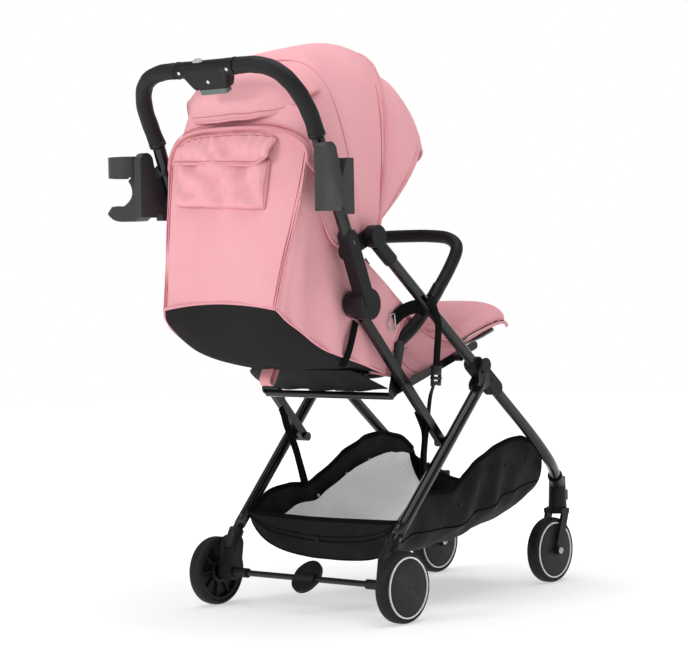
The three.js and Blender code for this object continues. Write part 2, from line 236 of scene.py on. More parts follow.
def moulded(name, colour, worn, rough=0.5, grain=1400.0, depth=0.00012, metal=0.0, coat=0.0):
    """Plastic, rubber, paint or steel that turns to the worn colour along its edges."""
    shader = Shader(name)
    colour, worn = hexed(colour), hexed(worn)
    geometry = shader.node("ShaderNodeNewGeometry")
    edge = shader.ramp(geometry.outputs["Pointiness"], (0.52, (0, 0, 0)), (0.62, (1, 1, 1)))
    patch = shader.math("MULTIPLY", edge, shader.noise(45.0, 4.0))
    base = shader.mix(shader.noise(11.0, 3.0), colour, tuple(c * 0.86 for c in colour))
    shader.colour(shader.mix(patch, base, worn))
    shader.normal(shader.bump(shader.noise(grain, 2.0), 0.35, depth))
    shader.roughness(rough - 0.07, rough + 0.07, 120.0)
    shader.set(Metallic=metal, Coat_Weight=coat, Coat_Roughness=0.25, Specular_IOR_Level=0.22)
    return shader.material


PINK = fabric("pink_cloth", "f8b7bd", "f0abb1", sheen=0.04, gloss=0.06)
PINK_TRIM = fabric("pink_binding", "efaab0", "e59ca4", pitch=0.0016, depth=0.0003, sheen=0.1)
PINK_INNER = fabric("pink_lining", "e59ba4", "d98b95", sheen=0.1)
BLACK_CLOTH = fabric("black_cloth", "161618", "0f0f11", pitch=0.0012, rough=0.62, gloss=0.16)
UNDER_CLOTH = fabric("charcoal_backing", "2e2c2d", "252425", pitch=0.0013, rough=0.9, gloss=0.05)
WEBBING = fabric("black_webbing", "111113", "0b0b0d", pitch=0.0018, depth=0.0005, rough=0.75, gloss=0.06)
SATIN = moulded("satin_black_tube", "050506", "303032", rough=0.2, grain=2600.0, depth=0.00003, coat=0.5)
PLASTIC = moulded("black_plastic", "141517", "303133", rough=0.46)
GREY = moulded("grey_plastic", "3a3a3b", "5a5a5c")
TRIGGER = moulded("grey_green_plastic", "5b6562", "87918d", rough=0.45)
SLIDER = moulded("pale_plastic", "a9adad", "c9cdcd", rough=0.4)
FOAM = moulded("foam_sleeve", "1c1c1e", "2c2c2e", rough=0.55, grain=900.0, depth=0.00035)
RUBBER = moulded("tyre_rubber", "1b1b1c", "333334", rough=0.6, grain=700.0, depth=0.00015)
DISC = moulded("wheel_cover", "232324", "373738")
WHITE = moulded("white_plastic", "eeeeec", "ffffff", rough=0.42)
STEEL = moulded("bright_steel", "b4b6b8", "d8d9da", rough=0.25, metal=0.95)
# thread for the stitched seams; its dark tone is partly the thread and partly painted shade in the seams'
# sunken lines
THREAD_AND_SEAM_SHADE = moulded("pink_thread_and_seam_shade", "b9606d", "b9606d", rough=0.7, grain=3000.0)
DARK_THREAD = moulded("dark_thread", "0d0d0e", "0d0d0e", rough=0.7, grain=3000.0)


def mesh_cloth():
    """Open grey mesh: rows of small round holes in a pale knit."""
    shader = Shader("grey_mesh")
    cells = shader.node("ShaderNodeTexVoronoi", Scale=330.0, Randomness=0.12)
    shader.link(shader.place, cells.inputs["Vector"])
    thread = shader.ramp(cells.outputs["Distance"], (0.16, hexed("d2d2d0")), (0.3, hexed("ffffff")))
    tone = shader.ramp(shader.noise(12.0), (0.3, (0.86, 0.86, 0.86)), (0.7, (1.0, 1.0, 1.0)))
    shader.colour(shader.mix(1.0, thread, tone, "MULTIPLY"))
    shader.normal(shader.bump(cells.outputs["Distance"], 0.5, 0.0006))
    shader.roughness(0.72, 0.9, 80.0)
    # a little of its own light stands in for what comes through the open knit from below
    shader.set(Specular_IOR_Level=0.1, Emission_Color=(1.0, 1.0, 0.98, 1.0), Emission_Strength=0.1)
    return shader.material


MESH = mesh_cloth()


# ---- building pieces ----
def shade_smooth(data):
    """Shades every face smoothly."""
    data.polygons.foreach_set("use_smooth", [True] * len(data.polygons))


def piece(name, verts, faces, material):
    """A new mesh object from points in scene metres."""
    data = bpy.data.meshes.new(name)
    data.from_pydata([tuple(v) for v in verts], [], faces)
    data.validate()
    body = bmesh.new()
    body.from_mesh(data)
    bmesh.ops.remove_doubles(body, verts=body.verts, dist=1e-6)
    bmesh.ops.recalc_face_normals(body, faces=body.faces)
    body.to_mesh(data)
    body.free()
    made = bpy.data.objects.new(name, data)
    bpy.context.scene.collection.objects.link(made)
    data.materials.append(material)
    shade_smooth(data)
    return made


def apply(made, *modifiers):
    """Adds modifiers, given as (type, {settings}), and applies them."""
    for kind, settings in modifiers:
        modifier = made.modifiers.new(kind.lower(), kind)
        for key, value in settings.items():
            setattr(modifier, key, value)
    bpy.context.view_layer.update()
    graph = bpy.context.evaluated_depsgraph_get()
    data = bpy.data.meshes.new_from_object(made.evaluated_get(graph))
    made.modifiers.clear()
    made.data = data
    shade_smooth(data)
    return made


def creased(made, degrees):
    """Keeps edges sharper than that angle crisp."""
    made.data.set_sharp_from_angle(angle=math.radians(degrees))
    return made


def quads(nu, nv, base=0):
    """The faces of nv rows of nu points, numbered from base."""
    return [tuple(base + k for k in (j * nu + i, j * nu + i + 1, (j + 1) * nu + i + 1, (j + 1) * nu + i))
            for j in range(nv - 1) for i in range(nu - 1)]


def grid(name, nu, nv, place, material):
    """A sheet over u and v from 0 to 1, where place(u, v) gives a point of the scene."""
    verts = [place(i / (nu - 1), j / (nv - 1)) for j in range(nv) for i in range(nu)]
    return piece(name, verts, quads(nu, nv), material)


def bands(rings, width, closed=False):
    """The faces between rings of width points each; closed joins the last ring to the first."""
    faces = []
    for i in range(rings if closed else rings - 1):
        n = (i + 1) % rings * width
        for k in range(width):
            after = (k + 1) % width
            faces.append((i * width + k, i * width + after, n + after, n + k))
    return faces


def sweep(name, points, section, material, turn=None):
    """A solid along the points (metres). Its outline is section(t), as (across, up) pairs in millimetres."""
    count = len(points)
    tangents = [(points[min(i + 1, count - 1)] - points[max(i - 1, 0)]).normalized() for i in range(count)]
    up = turn.normalized() if turn else Vector((0, 0, 1))
    if abs(up.dot(tangents[0])) > 0.95:
        up = Vector((1, 0, 0))
    verts, width = [], len(section(0.0))
    for i, (spot, tangent) in enumerate(zip(points, tangents)):
        up = (up - tangent * up.dot(tangent)).normalized()
        side = tangent.cross(up)
        verts += [spot + (side * a + up * b) * MM for a, b in section(i / (count - 1))]
    ends = [tuple(reversed(range(width))), tuple(range(len(verts) - width, len(verts)))]
    return piece(name, verts, bands(count, width) + ends, material)


def ring(radius, sides=16, flat=1.0):
    angles = [math.tau * k / sides for k in range(sides)]
    return [(radius * math.cos(a), radius * flat * math.sin(a)) for a in angles]


def tube(name, points, radius, material, sides=16):
    return sweep(name, points, lambda t: ring(radius, sides), material)


def strap(name, points, width, thick, material, facing):
    """Flat webbing along the points, its face towards `facing`."""
    a, b = width / 2, thick / 2
    outline = [(-a, -b), (-a * 0.96, b), (-a / 3, b * 0.8), (a / 3, b * 0.8), (a * 0.96, b), (a, -b),
               (a / 3, -b), (-a / 3, -b)]
    return sweep(name, points, lambda t: outline, material, turn=facing)


def on_side(s, *points):
    """The points for one side, from those of the left side."""
    return [(s * x, y, z) for x, y, z in points]


def shares(count):
    """Evenly spread numbers from 0 to 1."""
    return [i / (count - 1) for i in range(count)]


def line(points, count):
    """Points of the scene along a smooth line through drawing points."""
    return [at(*along(points, t)) for t in shares(count)]


def join(name, parts):
    """Several made pieces as one object, with their materials kept."""
    bpy.ops.object.select_all(action="DESELECT")
    for part in parts:
        part.select_set(True)
    bpy.context.view_layer.objects.active = parts[0]
    bpy.ops.object.join()
    parts[0].name = name
    return parts[0]


def turned(name, profile, centre, material, segments=64):
    """A shape of revolution about X. The profile closes on itself and holds (radius, x) in millimetres."""
    verts = []
    for i in range(segments):
        angle = math.tau * i / segments
        verts += [centre + Vector((x, r * math.cos(angle), r * math.sin(angle))) * MM for r, x in profile]
    return piece(name, verts, bands(segments, len(profile), True), material)


def ride(made, body, replaces=()):
    """Puts a piece on its body and the CAD nodes that it stands in for."""
    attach(made, body)
    if replaces:
        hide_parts(*replaces)
    return made


def screw(name, spot, direction, radius, body, material=WHITE):
    """A round screw head or snap with a dimple, standing on a surface."""
    outline = [(0.0, 0.0), (1.0, 0.0), (1.0, 0.25), (0.8, 0.5), (0.35, 0.62), (0.3, 0.3), (0.0, 0.3)]
    verts, sides = [], 20
    turn = Vector((0, 0, 1)).rotation_difference(direction.normalized()).to_matrix()
    for r, h in outline:
        for k in range(sides):
            angle = math.tau * k / sides
            verts.append(spot + turn @ Vector((r * math.cos(angle), r * math.sin(angle), h)) * radius * MM)
    ride(piece(name, verts, bands(len(outline), sides), material), body)


PAD_CAP = 7.0                             # most that a pad may swell, in millimetres
PAD_FRAMES = 20


def cloth_pad(made):
    """Swells a closed pad with a short cloth simulation, then smooths it once."""
    apply(made, ("REMESH", {"mode": "VOXEL", "voxel_size": 0.005}))
    rest = np.array([v.co for v in made.data.vertices])
    swell = made.modifiers.new("cloth", "CLOTH")
    swell.settings.use_pressure = True
    swell.settings.uniform_pressure_force = 5.0
    swell.settings.effector_weights.gravity = 0.0
    swell.settings.tension_stiffness = 12.0
    swell.settings.bending_stiffness = 0.4
    swell.point_cache.frame_start = 1
    swell.point_cache.frame_end = PAD_FRAMES
    scene = bpy.context.scene
    for number in range(1, PAD_FRAMES + 1):
        scene.frame_set(number)
    graph = bpy.context.evaluated_depsgraph_get()
    swollen = bpy.data.meshes.new_from_object(made.evaluated_get(graph))
    made.modifiers.clear()
    moved = np.array([v.co for v in swollen.vertices]) - rest
    far = np.linalg.norm(moved, axis=1, keepdims=True)
    moved *= np.minimum(1.0, PAD_CAP * MM / np.maximum(far, 1e-9))
    made.data.vertices.foreach_set("co", (rest + moved).ravel())
    scene.frame_set(1)
    return apply(made, ("SMOOTH", {"factor": 0.5, "iterations": 2}), ("SUBSURF", {"levels": 1}))


def ripple(points, scale, height, seed=0.0):
    """Soft uneven height at a drawing point."""
    return height * noise.noise(Vector((points[0] * scale + seed, points[1] * scale, points[2] * scale)))


# ---- the CAD pieces that keep their shape ----
def refine(node, material, bevel):
    """Gives a CAD piece its material and rounds its edges; bevel is in millimetres."""
    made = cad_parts[node]
    data = made.data
    data.materials.clear()
    data.materials.append(material)
    if "custom_normal" in data.attributes:
        data.attributes.remove(data.attributes["custom_normal"])
    shade_smooth(data)
    weld = made.modifiers.new("weld", "WELD")
    weld.merge_threshold = 2e-5
    rounding = made.modifiers.new("bevel", "BEVEL")
    rounding.width = bevel * MM
    rounding.segments = 2
    rounding.limit_method = "ANGLE"
    rounding.angle_limit = math.radians(38)
    made.modifiers.new("normals", "WEIGHTED_NORMAL").keep_sharp = True


SIDES = (("right", -1), ("left", 1))

for side, s in SIDES:
    for node, material, bevel in (
        ("leg_cap", PLASTIC, 1.6), ("leg_bracket", PLASTIC, 1.2), ("caster_housing", PLASTIC, 1.5),
        ("swivel_lock", GREY, 1.5), ("caster_fork", PLASTIC, 1.2), ("rear_leg", SATIN, 0.6),
        ("axle_housing", PLASTIC, 1.6), ("rear_axle", PLASTIC, 0.3), ("strut", SATIN, 1.4),
        ("seat_rail", SATIN, 0.8), ("handle_upright", PLASTIC, 2.2), ("accessory_mount", GREY, 3.0),
    ):
        refine(f"{node}_{side}", material, bevel)
for node, material, bevel in (
    ("brake_bar", SATIN, 0.5), ("seat_cross_tube", SATIN, 0.6), ("fold_trigger", TRIGGER, 2.0),
    ("cup_holder", GREY, 1.6), ("harness_buckle", PLASTIC, 2.0),
):
    refine(node, material, bevel)


# ---- tubes, grips and bumper bar ----
def leg_points(s):
    """The middle line of a front leg: straight down from the hinge, then bent in to the caster."""
    straight = [(195, y, leg_z(y)) for y in (2, -120, -240, -360, -470)]
    return on_side(s, *straight, (191, -535, 266), (177, -578, 237), (165, -603, 217))


def grooved(radius):
    """The outline of a round tube with two shallow grooves along each side."""
    outline, sides, depth = [], 40, 1.1
    for k in range(sides):
        angle = math.tau * k / sides
        gaps = [(math.degrees(angle) - groove + 180) % 360 - 180 for groove in (60, 120, 240, 300)]
        r = radius - depth * sum(math.exp(-gap ** 2 / 60) for gap in gaps)
        outline.append((r * math.cos(angle), r * math.sin(angle)))
    return outline


def grip_section(t):
    """The foam grip, 15.6 mm in radius, a little uneven along its length."""
    swell = 0.5 * step(t, 0, 0.03) * step(1 - t, 0, 0.03) + 0.25 * math.sin(t * 40)
    return ring(15.0 + swell, 24)


for side, s in SIDES:
    leg = tube(f"front_tube_{side}", line(leg_points(s), 71), 11.0, SATIN, 24)
    ride(leg, "root", [f"front_leg_{side}"])

    foot, top = Vector((s * 198.3, -31, 156)), Vector((s * 204.8, -287, 419))
    profile = grooved(11.6)
    rear = sweep(f"rear_tube_{side}", line([foot, (foot + top) / 2, top], 12), lambda t: profile, SATIN)
    ride(rear, "rear_frame")

    shaft = on_side(s, (203, 95, 702), (199, 157, 855), (198, 173.5, 897))
    ride(tube(f"handle_tube_{side}", line(shaft, 24), 12.3, SATIN, 24), "handle")

    grip_line = on_side(s, (198, 174.3, 898), (199, 191, 932), (194, 212, 968), (178, 230, 999),
                        (152, 241, 1019), (115, 246, 1028), (73.5, 247, 1029))
    grip = sweep(f"grip_{side}", line(grip_line, 72), grip_section, FOAM)
    collar = tube(f"grip_collar_{side}", line(grip_line[:2], 6)[:2], 16.4, PLASTIC, 28)
    ride(join(f"grip_{side}", [grip, collar]), "handle", [f"handle_grip_{side}"])


def bumper_line():
    """The bumper bar's middle line, from the right end over the lap to the left."""
    half = [(145, -100, 508), (145, -168, 548), (145, -232, 604), (145, -281, 655), (143, -308, 694),
            (112, -322, 713), (60, -329, 719)]
    return [(-x, y, z) for x, y, z in half] + [(0, -331, 720)] + half[::-1]


bumper_path = line(bumper_line(), 150)
parts = [tube("bumper_sleeve", bumper_path, 12.4, FOAM, 28)]
for s in (-1, 1):
    end = [at(s * x, -100, 508) for x in (132.6, 133.6, 156.4, 157.2)]
    parts.append(tube("bumper_end", end, 12.6, PLASTIC, 28))
    cuff = line(on_side(s, (145, -218, 591), (145, -232, 604), (145, -246, 619)), 6)
    parts.append(tube("bumper_cuff", cuff, 13.4, PLASTIC, 28))
inner_seam = [p + Vector((0, 0, -12.2)) * MM for p in bumper_path[30:120]]
parts.append(tube("bumper_seam", inner_seam, 0.7, DARK_THREAD, 6))
ride(join("bumper_sleeve", parts), "bumper", ["bumper_bar"])


# ---- handle housing ----
DOWN = Vector((0, -0.51, -0.8602))        # down the plane of the handle
BACK = Vector((0, 0.8602, -0.51))         # square to that plane, towards the back
GRIP_TOP = at(0, 247, 1029)
CASE_HALF = 72
CASE_RADIUS = 15.6


def housing_section(t):
    """A round bar at both ends that becomes a deeper, squarer box in the middle."""
    boxy = step(57 - abs(2 * CASE_HALF * t - CASE_HALF), 0, 19)
    depth = CASE_RADIUS + 24.6 * boxy
    half = CASE_RADIUS - 2.4 * boxy
    power = 2.0 / (2.0 + 3.0 * boxy)
    outline = []
    for k in range(36):
        c, v = math.cos(math.tau * k / 36), math.sin(math.tau * k / 36)
        if v >= 0:
            outline.append((half * c, CASE_RADIUS * v))
        else:
            outline.append((half * math.copysign(abs(c) ** power, c), -depth * abs(v) ** power))
    return outline


def on_case(x):
    """A point of the handle's middle line, x mm to the left of its middle."""
    return GRIP_TOP + Vector((x, 0, 0)) * MM


case_line = [on_case(x) for x in np.linspace(-CASE_HALF, CASE_HALF, 73)]
case = sweep("handle_case", case_line, housing_section, PLASTIC, turn=-DOWN)
seams = [tube("case_joint", [on_case(x - 0.8), on_case(x + 0.8)], 16.5, PLASTIC, 36) for x in (-70, 70)]
ride(join("handle_case", [creased(case, 50)] + seams), "handle", ["handle_housing"])
for index, (x, drop) in enumerate(((-60, -1), (58, -1), (-2, 22))):
    spot = on_case(x) + DOWN * drop * MM + BACK * (14.6 if drop < 0 else 12.6) * MM
    screw(f"case_screw_{index}", spot, BACK, 3.2, "handle")


def button_point(u, v):
    """A low oval dome on top of the housing."""
    across = ACROSS * (13.5 * v * math.cos(math.tau * u))
    back = BACK * (6.5 * v * math.sin(math.tau * u))
    return on_case(15) + (across + back - DOWN * (15.2 + 5.5 * (1 - v ** 3))) * MM


button = grid("slide_button", 25, 9, button_point, SLIDER)
apply(button, ("SOLIDIFY", {"thickness": 3 * MM, "offset": -1.0}))
ride(button, "slider", ["lock_slider"])


# ---- wheels ----
WHEEL_Z = 67                              # height of every wheel's centre, which is its radius


def wheel(end, side, s, centre, half):
    """A tyre of that half width and its disc, whose inner face is a second cover or a ribbed dish."""
    covered_both = end == "front"
    shoulder = [(57.7, 1.6), (60, 0.4), (62.5, 0), (64.6, 1.6), (66.2, 4.4), (67, 8)]
    profile = [(r, x - half) for r, x in shoulder] + [(r, half - x) for r, x in reversed(shoulder)]
    tyre = turned(f"{end}_{side}_tyre", profile, centre, RUBBER, 96)
    face = half + (0.2 if covered_both else 1.6)
    band = [(54.6, -3), (54.6, -0.6), (55.2, 0), (56.8, 0), (57.5, -0.6), (57.5, -3)]
    cover = [(0.01, -1.2), (30, -1.0), (52, -1.3), (54.3, -2.2), (54.3, -5), (0.01, -5)]
    parts = []
    for f in (1, -1) if covered_both else (s,):
        parts.append(turned("band", [(r, (face + x) * f) for r, x in band], centre, WHITE, 96))
        parts.append(turned("cover", [(r, (face + x) * f) for r, x in cover], centre, DISC, 96))
    if covered_both:
        parts.append(turned("core", [(57.4, 9), (57.4, -9), (20, -9), (20, 9)], centre, DISC, 64))
    else:
        dish = [(57.4, 8), (57.4, -12), (54, -12.6), (51, -11), (49, -3), (25, -3), (23.5, -11), (17, -11.5),
                (16, -3), (12, -2), (12, 8)]
        parts.append(turned("dish", [(r, x * s) for r, x in dish], centre, PLASTIC, 96))
        outline = [(-1.6, -3.4), (1.6, -3.4), (1.3, 3.0), (-1.3, 3.0)]
        inner = Vector((-s, 0, 0))
        for k in range(9):
            spoke = Vector((0, math.cos(math.tau * k / 9), math.sin(math.tau * k / 9)))
            points = [centre + (spoke * r + inner * 6.2) * MM for r in (23, 32, 42, 51)]
            parts.append(sweep("rib", points, lambda t: outline, PLASTIC, turn=inner))
    disc = join(f"{end}_{side}_disc", [creased(p, 40) for p in parts])
    ride(tyre, f"{end}_wheel_{side}", [f"{end}_tyre_{side}"])
    ride(disc, f"{end}_wheel_{side}", [f"{end}_hub_{side}"])


for side, s in SIDES:
    wheel("rear", side, s, at(s * 234, 0, WHEEL_Z), 14.5)
    wheel("front", side, s, at(s * 150, -600, WHEEL_Z), 14.0)
    for t in (-1, 1):
        name = f"axle_cap_{side}_{'in' if t * s < 0 else 'out'}"
        screw(name, at(s * 150 + t * 25.6, -600, WHEEL_Z), ACROSS * t, 7.0, f"caster_{side}", STEEL)
    screw(f"hinge_screw_{side}", at(s * 214.5, -287, 424), ACROSS * s, 4.0, "rear_frame", PLASTIC)
    screw(f"leg_screw_{side}", at(s * 206.6, -330, leg_z(-330)), ACROSS * s, 3.4, "root", PLASTIC)


# ---- brake pedal ----
PEDAL_OUT = Vector((0, 0.75, 0.661))
PEDAL_DOWN = Vector((0, 0.661, -0.75))


def pedal_point(u, v, upper):
    """An oval plate: u runs round it and v from its middle out, on the upper or the lower face."""
    x, w = 32 * v * math.cos(math.tau * u), 36 * v * math.sin(math.tau * u)
    ridges = 1.6 * math.exp(-((w - 3) / 2.2) ** 2) + 0.8 * math.exp(-((w + 14) / 5) ** 2)
    lift = 4.2 - 1.2 * v ** 4 + ridges if upper else -3.2
    return at(0, -2, 70) + (Vector((x, 0, 0)) + PEDAL_DOWN * w + PEDAL_OUT * lift) * MM


plate_top = grid("pedal", 49, 14, lambda u, v: pedal_point(u, v, True), PLASTIC)
plate_low = grid("pedal_low", 49, 14, lambda u, v: pedal_point(u, v, False), PLASTIC)
edge = grid("pedal_edge", 49, 2, lambda u, v: pedal_point(u, 1, v < 0.5), PLASTIC)
barrel = tube("pedal_barrel", [at(x, 0, WHEEL_Z) for x in (-24, -23, 23, 24)], 10.6, PLASTIC, 28)
pedal = creased(join("pedal", [plate_top, plate_low, edge, barrel]), 45)
ride(pedal, "pedal", ["brake_pedal"])


# ---- soft goods ----
CANOPY_SQUASH = (HANDLE_OUT, 0.1)         # the direction, and the share of the depth kept when folded
BACK_SQUASH = (LEG_DOWN, 0.14)
SQUASH = {"handle": CANOPY_SQUASH, "canopy_front": CANOPY_SQUASH, "backrest": BACK_SQUASH}


def settle(made, body, replaces=(), squash=None):
    """Puts a soft piece on its body, and gives it its own copy of its mesh when it has a squash."""
    ride(made, body, replaces)
    squash = squash or SQUASH.get(body)
    if squash:
        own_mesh(made)
    return made


def cloth(name, counts, place, material, thick, body, replaces=()):
    """A sheet over u and v with its thickness in mm, put on its body."""
    made = grid(name, *counts, place, material)
    apply(made, ("SOLIDIFY", {"thickness": thick * MM, "offset": 0.0}))
    creased(made, 60)
    settle(made, body, replaces)


def cord(name, points, radius, body="backrest", sides=10, material=PINK_TRIM, flat=1.0, replaces=()):
    """Piping or binding along the points; flat is its height as a share of its width."""
    made = sweep(name, points, lambda t: ring(radius, sides, flat), material)
    return settle(made, body, replaces)


# stitches in dark thread: the dark line is partly real thread and partly painted seam shade
def stitches(name, points, radius, body="backrest"):
    cord(name, points, radius, body, 6, THREAD_AND_SEAM_SHADE)


# outline of the back panel: height, half width, how far back its edge is and how much its middle swells
PANEL_Z = [589, 678, 750, 865, 930]
ARCH_HALF = 172
PANEL_HALF = [139.5, 149, 160.5, ARCH_HALF, ARCH_HALF]
PANEL_BELLY = [4, 9, 16, 34, 40]
PANEL_Y = [229, 210, 193, 166, 160]


def panel_top(s):
    """Height of the arch at that share of the half width."""
    return 855 + 66 * max(0.0, 1 - abs(s) ** 3.2) ** 0.45


def panel_depth(x, z):
    """Where the back panel's cloth is at that place, front to back."""
    half = smooth(z, PANEL_Z, PANEL_HALF)
    return smooth(z, PANEL_Z, PANEL_Y) + max(0.0, 1 - (x / half) ** 2) * smooth(z, PANEL_Z, PANEL_BELLY)


def behind_panel(spot):
    """Keeps a point of the canopy in front of the back panel's cloth."""
    top = panel_top(min(1.0, abs(spot.x) / ARCH_HALF))
    limit = panel_depth(spot.x, min(spot.z, top)) - 9
    limit += 1.1 * max(0.0, spot.z - top) + 1.5 * max(0.0, abs(spot.x) - ARCH_HALF)
    over = spot.y - limit
    if over > -12:
        spot.y = limit - 12 * math.exp(-(over + 12) / 12)
    return spot


# canopy: hoops that all turn about the handle hinge. By turn, in degrees: how far a hoop reaches, how
# square it is, and where its low ends lie.
REACH_KEYS = [-14, 0, 20, 37, 47, 62, 76, 93, 106, 119, 137, 149, 161]
REACH = [118, 138, 160, 210, 252, 303, 341, 360, 386, 398, 399, 394, 382]
SQUARE_KEYS = [-14, 20, 47, 62, 76, 84, 93, 106, 149]
SQUARE = [3.6, 3.8, 4.2, 4.2, 4.1, 2.9, 2.2, 2.15, 2.2]
LOW_KEYS = [-14, 20, 47, 76, 100, 119, 149]
LOW_Y = [53, 40, 22, 4, -18, -40, -62]
LOW_Z = [-22, -28, -32, -30, -16, 4, 40]
CANOPY_HALF, CANOPY_REACH = 179.0, 380
SEAM_TURN = 76                            # the cross seam of the rear cloth
RIM_TURN = 115.5                          # the middle bow, where the two cloths meet
EDGE_TURN = 145.0                         # the front bow


def canopy_point(share, turn, lift=0.0, narrow=0.0):
    """A point of the canopy at that share of a hoop, from right to left, and how high on the hoop it is."""
    angle = math.pi * min(max(share, 0.0), 1.0)
    power = smooth(turn, SQUARE_KEYS, SQUARE)
    rise = math.sin(angle) ** (2 / power)
    spread = math.copysign(abs(math.cos(angle)) ** (2 / power), -math.cos(angle))
    y, z = polar(turn, (smooth(turn, REACH_KEYS, REACH) + lift) * rise)
    low = (1 - rise) ** 2.2
    y += low * smooth(turn, LOW_KEYS, LOW_Y)
    z += low * smooth(turn, LOW_KEYS, LOW_Z)
    return Vector(((CANOPY_HALF - narrow) * spread, y, z)), rise


def rear_start(rise):
    """Turn at which the rear cloth begins, by the height on the hoop."""
    return smooth(rise, [0, 0.38, 0.5, 0.62, 0.77, 0.9, 1.0], [-12, -13, 2, 28, 42, 46, 48])


def sag(turn, low, high):
    """A soft hump between two turns."""
    return math.sin(math.pi * min(max((turn - low) / (high - low), 0), 1))


def wrinkled(spot, amount):
    """The canopy point moved outwards by that many millimetres."""
    y, z = HANDLE_HINGE
    outward = Vector((spot.x / CANOPY_HALF, (spot.y - y) / CANOPY_REACH, (spot.z - z) / CANOPY_REACH))
    return spot + outward.normalized() * amount


def rear_cloth(u, v):
    """From the low back edge to the middle bow; u runs from right to left, v towards the front."""
    share = 0.002 + 0.996 * u
    rise = math.sin(math.pi * share) ** (2 / 2.6)
    turn = rear_start(rise) + (RIM_TURN - rear_start(rise)) * v
    lift = -5.0 * sag(turn, 47, SEAM_TURN) + 5.0 * sag(turn, SEAM_TURN + 2, 116)
    spot, rise = canopy_point(share, turn, lift)
    pleat = 1.8 * (1 - rise) ** 1.5 * math.sin(turn * 0.42) * step(rise, 0.05, 0.3)
    tuck = 1.6 * math.exp(-((turn - SEAM_TURN) / 2.4) ** 2)
    crease = ripple(spot, 0.011, 3.0, 4.0) + ripple((spot.x * 0.3, spot.y, spot.z), 0.03, 1.2, 9.0)
    return at(*behind_panel(wrinkled(spot, pleat - tuck + crease)))


def front_cloth(u, v):
    """From under the middle bow to the front bow, a little inside the rear cloth."""
    share, inset = 0.004 + 0.992 * u, 7.0
    turn = 112 + (EDGE_TURN - 112) * v
    lift = -inset - 20.0 * (1 - step(turn, 114, 128)) + 6.0 * sag(turn, 118, 149)
    spot, rise = canopy_point(share, turn, lift, inset)
    pleat = 1.2 * (1 - rise) ** 1.3 * math.sin(turn * 0.7) * step(rise, 0.05, 0.3)
    return at(*wrinkled(spot, pleat + ripple(spot, 0.014, 2.4, 21.0)))


def hoop_path(turn, lift, narrow, low, count=120):
    """Points along a hoop, from share `low` on the right to the same share on the left."""
    return [at(*canopy_point(low + (1 - 2 * low) * t, turn, lift, narrow)[0]) for t in shares(count)]


def lining_point(u, v):
    return at(*canopy_point(0.03 + 0.94 * u, 52 + 62 * v, -14, 10)[0])


cloth("canopy_rear_cloth", (121, 90), rear_cloth, PINK,
      1.8, "handle", ["canopy_rear"])
cloth("canopy_front_cloth", (121, 44), front_cloth, PINK,
      1.8, "canopy_front", ["canopy_front"])
cloth("canopy_lining", (81, 40), lining_point, PINK_INNER,
      1.2, "handle")


# padded rim over the middle bow, bindings and piping
def rim_section(t):
    """The padded rim, a little uneven along its length."""
    return ring(4.6 * (1.0 + 0.06 * math.sin(t * 90) + 0.05 * math.sin(t * 37)), 14)


def binding_point(u, v):
    bulge = math.sin(math.pi * v)
    return at(*canopy_point(0.004 + 0.992 * u, EDGE_TURN - 2.2 + 2.6 * v, -6.0 + 1.2 * bulge, 7.0 - bulge)[0])


def visor_point(u, v):
    turn = EDGE_TURN + 12.5 * v * math.sin(math.pi * u) ** 1.3
    return at(*canopy_point(0.25 + 0.5 * u, turn, -7.5 - 3.0 * v, 7)[0])


# the padded rim takes the darker binding cloth and a dark stitch line runs behind it; both partly paint the
# shade of the step where the front cloth comes out beneath the rim
rim = sweep("canopy_rim", hoop_path(RIM_TURN - 0.3, 1.0, 0.0, 0.003, 150), rim_section, PINK_TRIM)
settle(rim, "handle", ["canopy_bow_mid"])
stitches("canopy_rim_stitch", hoop_path(RIM_TURN - 4.0, 3.2, -1.2, 0.04), 0.6, "handle")
cord("canopy_piping", hoop_path(SEAM_TURN, -0.6, 0.4, 0.05), 1.9, "handle", 12)
cloth("canopy_front_binding", (120, 5), binding_point, PINK_TRIM,
      3.0, "canopy_front")
cord("canopy_front_piping", hoop_path(EDGE_TURN + 0.3, -7.5, 7.5, 0.004), 2.6, "canopy_front", 12,
     replaces=["canopy_bow_front"])
side_edge = [rear_cloth(t, 0.0) for t in shares(120)]
cord("canopy_side_binding", side_edge, 3.2, "handle", 12, flat=0.75)
cloth("canopy_visor", (50, 16), visor_point, PINK,
      3.4, "canopy_front")


def flap_point(u, v):
    """The flap that hangs from the canopy over the back panel; v runs down from its seam to its hem."""
    s = 2 * u - 1
    top = canopy_point(0.25 + 0.5 * u, 72.0, 2.5)[0]
    corner = (max(0.0, abs(s) - 0.80) / 0.20) ** 2
    hem_z = 944 - 10 * (1 - s * s) + 8 * corner + 28 * max(0.0, -s) ** 4
    hem = Vector((153 * s, 134 + 70 * (1 - abs(s) ** 2.2), hem_z))
    spot = top.lerp(hem, v)
    belly = math.sin(math.pi * v) * 16 * (1 - max(0.0, -s) ** 6) + 1.2 * math.sin(v * 9 + 3 * s)
    fold = 4.0 * math.exp(-((s + 0.2 + 0.3 * v) / 0.07) ** 2) * v * (1 - 0.5 * v)
    fold += ripple(spot, 0.02, 3.4, 31.0)
    return at(*(spot + Vector((0, 0.8, 0.6)) * (belly + fold)))


cloth("canopy_flap", (81, 40), flap_point, PINK, 2.0, "handle")
flap_rim = [flap_point(0.0, j / 24) for j in range(24)] + [flap_point(t, 1.0) for t in shares(100)]
flap_rim += [flap_point(1.0, j / 24) for j in range(24, 0, -1)]
cord("canopy_flap_piping", flap_rim, 2.8, "handle", 12)
inner_hem = [flap_point(0.06 + 0.88 * t, 0.93) + Vector((0, 1.0, 0.7)) * 1.4 * MM for t in shares(90)]
stitches("canopy_flap_stitch", inner_hem, 0.5, "handle")


